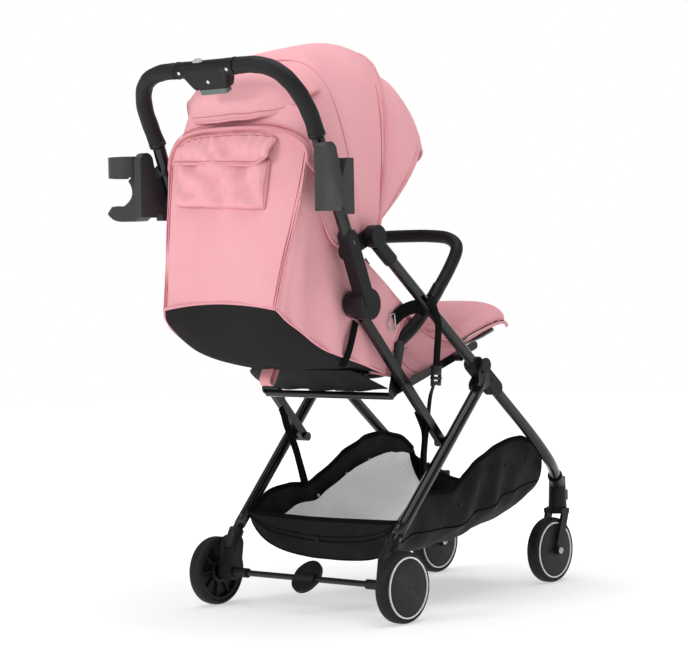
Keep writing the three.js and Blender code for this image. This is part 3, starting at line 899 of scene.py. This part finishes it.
# ---- back panel, its side walls and the underside ----
def panel_point(s, v, lift=0.0):
    """A point of the back panel; s runs across from -1 to 1, v from its low edge up to the arch."""
    low = 589 + 12 * (1 - s * s)
    z = low + (panel_top(s) - low) * v
    half, y = smooth(z, PANEL_Z, PANEL_HALF), smooth(z, PANEL_Z, PANEL_Y)
    belly = (1 - s * s) * smooth(z, PANEL_Z, PANEL_BELLY)
    return Vector((s * half, y + belly + lift, z + 0.25 * lift))


def panel_cloth(u, v):
    s = math.sin(math.pi * (u - 0.5))
    spot = panel_point(s, v)
    drape = 1.6 * math.sin(s * 7 + v * 2.5) * (1 - v) * step(1 - abs(s), 0, 0.2)
    return at(spot.x, spot.y + drape + ripple(spot, 0.012, 3.0, 50.0), spot.z)


cloth("back_panel", (91, 100), panel_cloth, PINK,
      2.0, "backrest", ["seat_bucket"])
for side, s in (("near", -1), ("far", 1)):
    for row, share in enumerate((0.95, 0.985)):
        seam = [at(*panel_point(s * share, 0.012 + 0.94 * t, 1.7)) for t in shares(80)]
        stitches(f"panel_seam_{side}_{row}", seam, 0.7)

# wide binding round the arch
ARCH_END = [(176, 140, 818), (175, 152, 838)]
arch = [Vector((-x, y, z)) for x, y, z in ARCH_END]
arch += [panel_point(math.sin(math.pi * (t - 0.5)), 1.0) for t in shares(91)]
arch += [Vector(end) for end in reversed(ARCH_END)]
ARCH_BAND = [(-3.0, -7.5), (1.4, -7.0), (3.2, -4.0), (3.8, 0), (3.2, 4.0), (1.4, 7.0), (-3.0, 7.5), (-3.4, 0)]
band = sweep("panel_arch", [at(p.x, p.y + 0.5, p.z) for p in arch], lambda t: ARCH_BAND, PINK_TRIM)
settle(band, "backrest")
for row, reach in enumerate((-7.6, 7.6)):
    centre = Vector((0, 182, 800))
    path = [at(*(p + (centre - p).normalized() * reach + Vector((0, 1.6, 0)))) for p in arch]
    stitches(f"arch_stitch_{row}", path, 0.6)

WALL_LOW = [(139.5, 229, 589), (153, 205, 562), (163, 126, 514), (158, 40, 490), (152, -60, 461)]
WALL_TOP = [(171, 174, 865), (165, 142, 830), (157, 88, 752), (156, 5, 680), (157, -129, 577)]
PANEL_EDGE = [(139.5, 229, 589), (149, 210, 678), (160.5, 193, 750), (171, 174, 865)]


def wall_point(s, u, v, fold=1.0):
    """u runs from the back panel to the front, v from the bottom rim up."""
    first = Vector(WALL_LOW[0]).lerp(Vector(WALL_TOP[0]), v)
    spot = along(WALL_LOW, u).lerp(along(WALL_TOP, u), v) + (along(PANEL_EDGE, v) - first) * (1 - u) ** 3
    belly = 4.0 * math.sin(math.pi * v) * math.sin(math.pi * u)
    low_folds = 6.0 * math.sin(u * 24 + v * 5) * (1 - v) ** 1.6 * step(u, 0.08, 0.3)
    mid_folds = 4.6 * math.sin(u * 15 - v * 3 + 0.6) * math.sin(math.pi * v) * step(u, 0.12, 0.4)
    folds = fold * ((low_folds + mid_folds) * step(1 - u, 0.0, 0.15) + ripple(spot, 0.016, 5.0, 70.0 + s))
    return at(s * (spot.x + belly + folds * step(u, 0, 0.08)), spot.y, spot.z)


for side, s in SIDES:
    cloth(f"side_wall_{side}", (90, 80), lambda u, v: wall_point(s, u, v), PINK,
          1.8, "backrest")
    cord(f"side_piping_{side}", [wall_point(s, t, 0.0, 0.3) for t in shares(80)], 2.6)
    edge = [at(*(panel_point(s, 0.74 * t) + Vector((s * 0.5, 0, 0)))) for t in shares(40)]
    cord(f"panel_piping_{side}", edge, 1.5, sides=8)
low_edge = [at(*(panel_point(-1 + 2 * t, 0.0) + Vector((0, 0.5, 0)))) for t in shares(60)]
cord("panel_low_piping", low_edge, 3.0)


def underside_point(u, v):
    """u runs across, v from the back panel to the front."""
    s = 2 * u - 1
    edge = along(WALL_LOW, v)
    round_off = (1 - abs(s) ** 2.4) ** 0.6
    deep = 34 * math.sin(math.pi * min(1.0, v ** 0.8)) ** 0.9 * round_off
    back = (1 - s * s) * (1 - v) ** 5
    spot = Vector((s * edge.x, edge.y - 0.30 * deep, edge.z - 0.92 * deep + 12 * back))
    crease = ripple(spot, 0.014, 6.0, 90.0) * round_off * step(v, 0, 0.15)
    return at(spot.x, spot.y - 0.3 * crease + 4 * back, spot.z - crease)


cloth("seat_underside", (80, 90), underside_point, UNDER_CLOTH,
      1.8, "backrest")


# ---- rear pocket ----
def pouch_point(u, v):
    """u runs across from the right edge, v from the bottom up."""
    s = 2 * u - 1
    x = -100 + 232 * u + 5 * (1 - v) * (1 - u)
    z = 771 + 12 * u + 88 * v
    round_off = max(0.0, (1 - abs(s) ** 7) * (1 - abs(2 * v - 1) ** 6)) ** 0.6
    folds = 6.6 * math.sin(7.5 * s - 7 * v + 1.0 + 1.5 * math.sin(2.2 * s + 3 * v))
    folds += 2.2 * math.sin(15 * s + 9 * v) + ripple((x, 0, z), 0.035, 6.0, 110.0)
    return at(x, panel_depth(x, z) + 3.5 + (15.0 + folds) * round_off, z)


cloth("pocket_pouch", (90, 50), pouch_point, PINK,
      2.0, "backrest", ["rear_pocket"])


def flap_cover(u, v):
    """u runs across from the right edge, v from the gathered top down to the hem."""
    s = 2 * u - 1
    right = -112 + 8 * v + 7 * max(0.0, (v - 0.7) / 0.3) ** 2
    x = right + (139 - right) * u
    under_arch = panel_top(x / ARCH_HALF) - 11 - 5 * (max(0.0, 0.06 - u) / 0.06) ** 2
    hem = 849 + 13 * u + 13 * (max(0.0, 0.12 - u) / 0.12) ** 2
    z = under_arch + (hem - under_arch) * v
    puff = 3 + 15 * v ** 0.7 + 3 * math.sin(math.pi * v)
    gather = 3.4 * math.sin(u * 64 + 2.4 * math.sin(u * 9)) * (1 - v) ** 1.1 * step(v, 0, 0.08)
    wave = 6.5 * math.sin(10 * s + 5 * v + 2 * math.sin(5 * s)) * math.sin(math.pi * v) * (0.4 + 0.6 * v)
    return at(x, panel_depth(x, z) + puff + gather + wave + ripple((x, 0, z), 0.04, 3.2, 120.0), z)


cloth("pocket_flap", (130, 50), flap_cover, PINK, 2.0, "backrest")
cover_rim = [flap_cover(0.0, j / 20) for j in range(20)] + [flap_cover(t, 1.0) for t in shares(100)]
cord("pocket_flap_piping", cover_rim, 3.0)
pouch_edge = [pouch_point(0.012, 1 - t) for t in shares(25)]
pouch_edge += [pouch_point(0.012 + 0.976 * j / 79, 0.012) for j in range(1, 80)]
cord("pocket_piping", pouch_edge, 2.2, sides=8)
for name, v in (("top", 0.06), ("hem", 0.9)):
    row = [flap_cover(0.03 + 0.95 * t, v) + Vector((0, 1.4, 0)) * MM for t in shares(110)]
    stitches(f"pocket_stitch_{name}", row, 0.55)


# ---- seat, wings, calf rest and harness ----
def pad(name, place, body, seams, below=None, replaces=()):
    """A stuffed pad. place(u, v, h) gives a point, with h the share of the height, and seams hold
    (u or v, value) lines where it is sewn down; below is the material of its underside."""
    verts, nu, nv = [], 44, 40
    for face in (1, -1):
        for j in range(nv):
            for i in range(nu):
                u, v = i / (nu - 1), j / (nv - 1)
                full = ((1 - abs(2 * u - 1) ** 7) * (1 - abs(2 * v - 1) ** 7)) ** 0.42
                gaps = [(u if kind == "u" else v) - value for kind, value in seams]
                dip = sum(math.exp(-(gap / 0.022) ** 2) for gap in gaps)
                sewn = 1 - 0.42 * min(1.0, dip) * (face > 0)
                verts.append(place(u, v, 0.5 + face * 0.5 * full * sewn))
    upper = [tuple(reversed(quad)) for quad in quads(nu, nv)]
    made = cloth_pad(piece(name, verts, upper + quads(nu, nv, nu * nv), PINK))
    if below:
        made.data.materials.append(below)
        for polygon in made.data.polygons:
            if polygon.normal.z < -0.35:
                polygon.material_index = 1
    settle(made, body, replaces)


# each pad's place: u across, v from the back to the front (for the back, upwards), h the share of its height
def seat_place(u, v, h):
    y = -86 - 226 * v
    side = abs(2 * u - 1)
    top = 470 + 63 * v + 3.0 * side ** 3 - 2.0 * math.sin(math.pi * v)
    return at(133 * (2 * u - 1), y + 8 * (1 - h), top - 28 * (1 - h))


pad("seat_cushion", seat_place, "root", (("u", 0.2), ("u", 0.8), ("v", 0.36), ("v", 0.68)),
    BLACK_CLOTH, ["seat_pad"])


def back_place(u, v, h):
    s = 2 * u - 1
    spot = Vector((0, -72, 480)).lerp(Vector((0, 205, 614)), v)
    return at((126 + 14 * v) * s, spot.y + 11 * (1 - h), spot.z - 26 * (1 - h) + 6 * abs(s) ** 3)


pad("back_cushion", back_place, "backrest", (("u", 0.2), ("u", 0.8), ("v", 0.3), ("v", 0.62)),
    replaces=["backrest_board"])


def calf_place(u, v, h):
    s = 2 * u - 1
    y = -306 - 222 * v * (1 - 0.10 * abs(s) ** 5)
    top = 526 + 58 * math.sin(0.5 * math.pi * v) ** 1.1 - 24 * abs(s) ** 3 * (0.4 + 0.6 * v) - 10 * v ** 8
    return at(141 * s * (1 - 0.16 * v ** 7), y, top - 30 * (1 - h))


pad("calf_cushion", calf_place, "calf_rest", (("v", 0.14),), BLACK_CLOTH, ["calf_rest"])
calf_edge = [calf_place(0, j / 30, 0.45) for j in range(30)]
calf_edge += [calf_place(i / 50, 1, 0.45) for i in range(50)]
calf_edge += [calf_place(1, 1 - t, 0.45) for t in shares(31)]
cord("calf_piping", calf_edge, 3.0, "calf_rest")
for side, s in SIDES:
    profile = [(0.01, -9), (9, -9), (10.5, -7.5), (10.5, 7.5), (9, 9), (0.01, 9)]
    ride(turned(f"calf_knob_{side}", profile, at(s * 147.5, -308, 499), PLASTIC, 32), "calf_rest")
    calf_bar = line(on_side(s, (138, -318, 503), (138, -380, 515), (128, -440, 528)), 16)
    ride(tube(f"calf_bar_{side}", calf_bar, 5.0, SATIN), "calf_rest")

WING_LOW = [(134, -40, 463), (144, -85, 454), (148, -140, 446), (148, -190, 454), (147, -242, 473),
            (145, -291, 489), (143, -322, 502)]
WING_TOP = [(131, 10, 684), (130.5, -60, 637), (130.5, -120, 598), (130.5, -177, 556), (132, -232, 524),
            (136, -283, 512), (141, -320, 510)]


def wing_point(s, u, v, fold=1.0):
    """The cloth beside the seat; u runs from the back to the front, v from its low edge up."""
    low, top = along(WING_LOW, u), along(WING_TOP, u)
    spot = low.lerp(top, v)
    spot.x = low.x + (top.x - low.x) * step(v, 0.0, 0.45)
    dent = -3.0 * math.sin(u * 13 + v * 3) * math.sin(math.pi * v)
    dent += min(0.0, ripple(spot, 0.02, 6.0, 140.0 + s))
    return at(s * (spot.x + min(0.0, fold * dent)), spot.y, spot.z)


for side, s in SIDES:
    cloth(f"seat_wing_{side}", (80, 44), lambda u, v: wing_point(s, u, v), PINK,
          2.4, "root")
    cord(f"wing_piping_{side}", [wing_point(s, t, 0.0, 0.0) for t in shares(100)], 3.0, "root")
    rows = ((1.0, 0.0, 2.2, PINK_TRIM), (0.93, 1.0, 0.6, THREAD_AND_SEAM_SHADE))
    for row, (reach, fold, width, material) in enumerate(rows):
        upper = [wing_point(s, t, reach, fold) + Vector((s * 1.2, 0, 0)) * MM for t in shares(100)]
        settle(tube(f"wing_edge_{side}_{row}", upper, width, material, 8), "root")
    seam = [wing_point(s, 0.43 - 0.12 * math.sin(math.pi * t), 0.04 + 0.4 * t) for t in shares(31)]
    stitches(f"wing_seam_{side}", [p + Vector((s * 1.6, 0, 0)) * MM for p in seam], 0.7, "root")
    cord(f"wall_front_piping_{side}", [wall_point(s, 1.0, t, 0.3) for t in shares(40)], 2.4)
    cord(f"wall_top_piping_{side}", [wall_point(s, 0.25 + 0.75 * t, 1.0, 0.3) for t in shares(60)], 2.2)


# dark cloth under the seat, with the pull tab below the back panel
def sling_point(u, v):
    s = 2 * u - 1
    z = 462 - 6 * math.sin(math.pi * v) + 38 * v ** 1.4 - 9 * (1 - s ** 4)
    return at(s * (137 - 4 * v), -40 - 280 * v, z)


def base_point(u, v):
    s = 2 * u - 1
    z = 468 - 38 * v ** 0.8 - 5 * (1 - s ** 4) * v + 1.5 * math.sin(u * 21) * v
    return at(s * (124 + 30 * v ** 0.4), 4 - 72 * v, z)


cloth("seat_sling", (50, 50), sling_point, BLACK_CLOTH,
      2.0, "root")
cloth("seat_base_cloth", (60, 20), base_point, BLACK_CLOTH,
      2.0, "root")
TAB = [(30, 60, 478), (30, 74, 452), (30, 66, 440), (30, 56, 452), (30, 44, 474)]
settle(strap("seat_tab", line(TAB, 24), 26, 2.4, PINK_TRIM, Vector((0, 1, 0))), "backrest")


def webbing(name, points, width, body, facing, squash=None, replaces=(), count=40):
    """A strap of webbing through the drawing points, its face towards `facing`."""
    made = strap(name, line(points, count), width, 1.7, WEBBING, facing)
    settle(made, body, replaces, squash)


def cuff_section(t):
    """The outline of a flat cuff that narrows along its length."""
    low, high = -11 + 3 * t, 11 - 1.5 * t
    return [(low, -1.3), (low, 1.3), (high, 1.3), (high, -1.3)]


def bar(spots, half, deep):
    """One bar of a buckle, of that half width and depth, along the points."""
    outline = [(-half, -deep), (-half, deep), (half, deep), (half, -deep)]
    return sweep("bar", spots, lambda t: outline, PLASTIC, turn=ACROSS)


for side, s in SIDES:
    outward = ACROSS * s
    shoulder = on_side(s, (42, 96, 586), (40, 20, 566), (36, -70, 540), (24, -150, 545), (12, -192, 556))
    webbing(f"shoulder_strap_{side}", shoulder, 24, "root", Vector((0, 0, 1)))
    collar = line(on_side(s, (42, 70, 584), (40, 20, 571), (37.5, -35, 556)), 26)
    soft = sweep(f"shoulder_pad_{side}", collar,
                 lambda t: ring(21 * (1 - abs(2 * t - 1) ** 8) ** 0.3 + 0.5, 20, 0.32), PINK)
    settle(soft, "backrest")
    waist = on_side(s, (118, -120, 488), (80, -150, 516), (40, -185, 545), (16, -200, 556))
    webbing(f"waist_strap_{side}", waist, 24, "root", Vector((0, 0.3, 1)))
    recline = on_side(s, (165, 36, 560), (167, 46, 540), (167, 55, 518), (164, 64, 494), (156, 70, 478))
    webbing(f"recline_strap_{side}", recline[:-1] if s > 0 else recline, 17, "backrest", outward)
    upper = on_side(s, (152, -18, 672), (158, 4, 650), (162, 18, 622), (163, 26, 596))
    webbing(f"hinge_strap_{side}", upper, 16, "backrest", outward)
    belt = on_side(s, (166, -172, 575), (164, -150, 583), (162, -110, 575), (160, -84, 560))
    webbing(f"back_strap_{side}", belt, 26, "root", outward)
    loop = on_side(s, (161, -82, 572), (161, -72, 568), (161, -66, 556), (161, -72, 544), (161, -86, 542),
                   (161, -84, 572))
    ride(tube(f"strap_ring_{side}", line(loop, 40), 1.6, STEEL, 10), "root")

    # the webbing, buckle and straps that hang from the leg at the side
    hang = on_side(s, (213, -131, 598), (214, -144, 568), (215, -150, 545), (214, -146, 500),
                   (214, -141, 462))
    webbing(f"side_webbing_{side}", hang, 19, "root", outward, BACK_SQUASH, [f"side_strap_{side}"], 44)
    cuff_line = line(on_side(s, (214, -120, 600), (214, -132, 588), (214, -142, 570)), 14)
    cuff = sweep(f"side_webbing_cuff_{side}", cuff_line, cuff_section, WEBBING, turn=ACROSS)
    settle(cuff, "root", squash=BACK_SQUASH)
    if s > 0:
        tail = [(205, -146, 436), (184, -146, 408), (168, -142, 352), (163, -165, 296), (163, -190, 223)]
        hanger = [(159.7, -118, 384), (159.7, -140, 340), (159.7, -168, 282), (159.7, -192, 221)]
    else:
        tail = [(-205, -146, 436), (-180, -165, 408), (-175, -161, 352), (-174, -153, 296), (-176, -150, 235)]
        hanger = [(-166, -140, 384), (-170, -157, 340), (-170, -151, 288), (-172, -148, 238)]
    webbing(f"basket_webbing_{side}", tail, 19, "root", outward, BACK_SQUASH, (), 44)
    webbing(f"basket_hanger_{side}", hanger, 15, "root", outward, BACK_SQUASH, [f"basket_strap_{side}"])

    def buckle_spot(z, forward=0.0):
        return at(s * 214, -139 + forward - (z - 434) * 0.1, z)

    parts = [bar([buckle_spot(z) for z in (low, (low + high) / 2, high)], half, deep)
             for low, high, half, deep in ((434, 441, 12, 4.2), (444, 450, 12.5, 5.0), (453, 468, 11, 4.0),
                                           (466, 471, 12.5, 4.6))]
    parts += [bar([buckle_spot(z, edge) for z in (432, 450, 472)], 1.6, 3.6) for edge in (-11, 11)]
    made = join(f"side_buckle_{side}", parts)
    creased(apply(made, ("BEVEL", {"width": 1.1 * MM, "segments": 2})), 40)
    settle(made, "root", squash=BACK_SQUASH)


# ---- basket ----
RIM_Y = [-560, -520, -490, -460, -400, -330, -275, -225, -160, -100, -50]
RIM_Z = [262, 296, 306, 314, 308, 284, 254, 228, 228, 217, 181]
FLOOR_Y = [-562, -525, -437, -318, -204, -140, -75]
FLOOR_Z = [166, 146, 126, 112, 101, 98, 96]
BASKET_LOW = 92.5                         # the cloth comes no lower than this


def basket_half(y):
    """Half the basket's width."""
    return smooth(y, [-560, -480, -300, -120, -50], [166, 174, 177, 180, 188])


def basket_point(u, v, inset=0.0, fold=1.0):
    """u runs across from the right rim to the left, v from the rear wall to the front."""
    angle = math.pi * u
    power = 2.7 + 0.9 * math.sin(math.pi * v)
    down = math.sin(angle) ** (2 / power)
    across = math.copysign(abs(math.cos(angle)) ** (2 / power), -math.cos(angle))
    y_rim, y_floor = -50 - 500 * v, -76 - 484 * v
    y = y_rim + (y_floor - y_rim) * down
    rim, floor = smooth(y_rim, RIM_Y, RIM_Z), smooth(y_floor, FLOOR_Y, FLOOR_Z)
    z = rim + (floor - rim) * down
    half = basket_half(y) - inset
    side = 1 - down
    slack = fold * math.sin(math.pi * min(1.0, 0.06 + v * 0.94))
    folds = slack * (4.5 * math.sin(v * 31 + 2.2 * math.sin(u * 7)) * math.sin(math.pi * min(1, side * 1.1))
                     + ripple((across * 160, y, z), 0.02, 12.0, 160.0))
    belly = 5.0 * slack * math.sin(math.pi * side)
    z = max(z - (folds * 0.5) * down + inset * down, BASKET_LOW)
    return at(across * (half + belly + folds * abs(across)), y, z)


cloth("basket_cloth", (130, 120), basket_point, BLACK_CLOTH,
      1.6, "root", ["basket"])


def liner_point(u, v):
    """The mesh lies on the basket's floor and low on its sides, lower at the back."""
    share = 0.5 + (u - 0.5) * (0.78 + 0.12 * step(v, 0.05, 0.3) + 0.02 * step(v, 0.3, 0.6))
    return basket_point(share, 0.02 + 0.94 * v, 6.0, 0.55)


def drawn(spot):
    """A point of the scene, turned back into the drawing's millimetres."""
    return (spot - SHIFT) / MM


def rear_wall(u, v, lift=0.0):
    """The basket's rear wall; u runs across, v down from its hem to the basket's edge."""
    s = 2 * u - 1
    high = Vector((188 * s, -48, 180 - 4 * (1 - s * s)))
    spot = high.lerp(drawn(basket_point(u, 0.0, 0.0, 0.0)), v)
    folds = 2.2 * math.sin(s * 9 + 4 * v) * math.sin(math.pi * v) + ripple(spot, 0.02, 4.0, 180.0)
    return at(spot.x, spot.y + 5 * math.sin(math.pi * v) + folds + lift, spot.z)


def front_wall(u, v):
    """The basket's front wall, which dips in its middle."""
    s = 2 * u - 1
    high = Vector((166 * s, -546 + 8 * (1 - s * s), 258 - 52 * (1 - s * s)))
    spot = high.lerp(drawn(basket_point(u, 1.0, 0.0, 0.0)), v)
    return at(spot.x, spot.y - (4 - 2.4 * math.sin(s * 11)) * math.sin(math.pi * v), spot.z)


cloth("basket_mesh", (110, 110), liner_point, MESH, 1.0, "root")
cloth("basket_rear_wall", (90, 34), rear_wall, BLACK_CLOTH,
      1.6, "root")
cloth("basket_front_wall", (70, 26), front_wall, BLACK_CLOTH,
      1.6, "root")


def basket_trim(name, points, across, thick):
    cord(name, points, across, "root", 10, WEBBING, thick / across)


def rear_trim(name, v, across, thick, lift=0.0, inset=0.0):
    """Binding or a seam across the basket's rear wall, at height v."""
    points = [rear_wall(inset + (1 - 2 * inset) * t, v, lift) for t in shares(90)]
    basket_trim(f"basket_rear_{name}", points, across, thick)


for side, s in SIDES:
    share = 0.001 if s < 0 else 0.999
    basket_trim(f"basket_rim_{side}", [basket_point(share, t) for t in shares(120)], 3.4, 5.5)
    band_low = [basket_point(0.14 if s < 0 else 0.86, 0.02 + 0.96 * t, -1.6) for t in shares(100)]
    basket_trim(f"basket_band_seam_{side}", band_low, 1.2, 1.2)
    for index, v in enumerate((0.38, 0.56, 0.72, 0.86)):
        spot = basket_point(share, v).lerp(basket_point(0.06 if s < 0 else 0.94, v), 0.75)
        for name, face, material in (("out", s, PLASTIC), ("in", -s, STEEL)):
            screw(f"basket_snap_{side}_{index}_{name}", spot + Vector((face * 2.4, 0, 0)) * MM,
                  Vector((face, 0, 0.1)), 4.0, "root", material)
rear_trim("hem", 0.0, 3.0, 4.5)
rear_trim("seam", 0.55, 1.0, 1.0, 1.4, 0.02)
rear_trim("fold", 0.42, 0.8, 0.8, 1.0, 0.02)
rear_trim("edge", 1.0, 1.8, 1.8)
basket_trim("basket_front_hem", [front_wall(t, 0.0) for t in shares(70)], 3.0, 4.0)
screw("basket_rear_snap", rear_wall(0.52, 0.5, 2.0), Vector((0, 1, 0)), 4.5, "root", PLASTIC)


# ---- floor, light and camera ----
def floor_material():
    shader = Shader("studio_floor")
    shader.colour(shader.mix(shader.noise(1.5, 2.0), hexed("d3d3d3"), hexed("cfcfcf")))
    shader.set(Roughness=0.85, Specular_IOR_Level=0.0, Emission_Color=(1.0, 1.0, 1.0, 1.0))
    here = shader.node("ShaderNodeNewGeometry")
    away = shader.node("ShaderNodeVectorMath", operation="LENGTH")
    shader.link(here.outputs["Position"], away.inputs[0])
    spread = shader.node("ShaderNodeMapRange", From_Min=0.5, From_Max=1.4, To_Min=0.5, To_Max=0.95)
    shader.link(away.outputs["Value"], spread.inputs["Value"])
    shader.link(spread.outputs["Result"], shader.bsdf.inputs["Emission Strength"])
    return shader.material


FLOOR_RADIUS = 7.0                        # metres


def floor_point(u, v):
    reach, angle = FLOOR_RADIUS * v, math.tau * u
    return Vector((reach * math.cos(angle), reach * math.sin(angle), -0.0005))


grid("studio_floor", 97, 24, floor_point, floor_material())

scene = bpy.context.scene
world = bpy.data.worlds.new("studio")
scene.world = world
scene.view_settings.view_transform = "Standard"

# the sky is white near the horizon and grey above, and brighter on one side
sky = Nodes(world, "Generated")
parts = sky.node("ShaderNodeSeparateXYZ")
sky.link(sky.place, parts.inputs["Vector"])
height = sky.math("ABSOLUTE", parts.outputs["Z"], 0.0)
toward = sky.node("ShaderNodeVectorMath", operation="DOT_PRODUCT")
toward.inputs[1].default_value = (0.635, -0.772, 0.0)
sky.link(sky.place, toward.inputs[0])
shade = sky.ramp(height, (0.24, (1.0, 1.0, 1.0)), (0.5, (0.26, 0.26, 0.27)))
bright_side = sky.ramp(toward.outputs["Value"], (0.35, (0.55, 0.55, 0.56)), (0.9, (1.0, 1.0, 1.0)))
backdrop = sky.tree.nodes["Background"]
sky.link(sky.mix(1.0, shade, bright_side, "MULTIPLY"), backdrop.inputs["Color"])
backdrop.inputs["Strength"].default_value = 1.0


def area_light(name, place, size, power):
    """A soft light at that place, turned to the middle of the part."""
    data = bpy.data.lights.new(name, "AREA")
    data.shape = "RECTANGLE"
    data.size, data.size_y = size
    data.energy = power
    made = bpy.data.objects.new(name, data)
    scene.collection.objects.link(made)
    made.location = place
    made.rotation_euler = (CENTRE - made.location).to_track_quat("-Z", "Y").to_euler()


CENTRE = Vector((0.0, 0.0, 0.55))
area_light("overhead", (-0.3, 0.3, 3.4), (3.4, 3.4), 86)
area_light("key", (0.9, 3.3, 2.1), (1.0, 1.0), 36)
area_light("side", (-3.4, 0.4, 1.5), (0.8, 1.8), 2)


def aim(azimuth, elevation, roll):
    """The turn of a camera that looks at the part from that azimuth and elevation, in degrees."""
    a, e, w = (math.radians(x) for x in (azimuth, elevation, roll))
    back = Vector((math.sin(a) * math.cos(e), -math.cos(a) * math.cos(e), math.sin(e)))
    across = (-back).cross(Vector((0, 0, 1))).normalized()
    up = across.cross(-back)
    columns = (across * math.cos(w) + up * math.sin(w), up * math.cos(w) - across * math.sin(w), back)
    return Matrix(columns).transposed().to_4x4()


camera_data = bpy.data.cameras.new("camera")
camera_data.lens, camera_data.sensor_width = 122.9, 36.0
camera_data.clip_end = 60.0
camera = bpy.data.objects.new("camera", camera_data)
scene.collection.objects.link(camera)
camera.matrix_world = Matrix.Translation((-2.957, 3.5942, 0.676)) @ aim(219.7, 1.7, -1.2)
scene.camera = camera
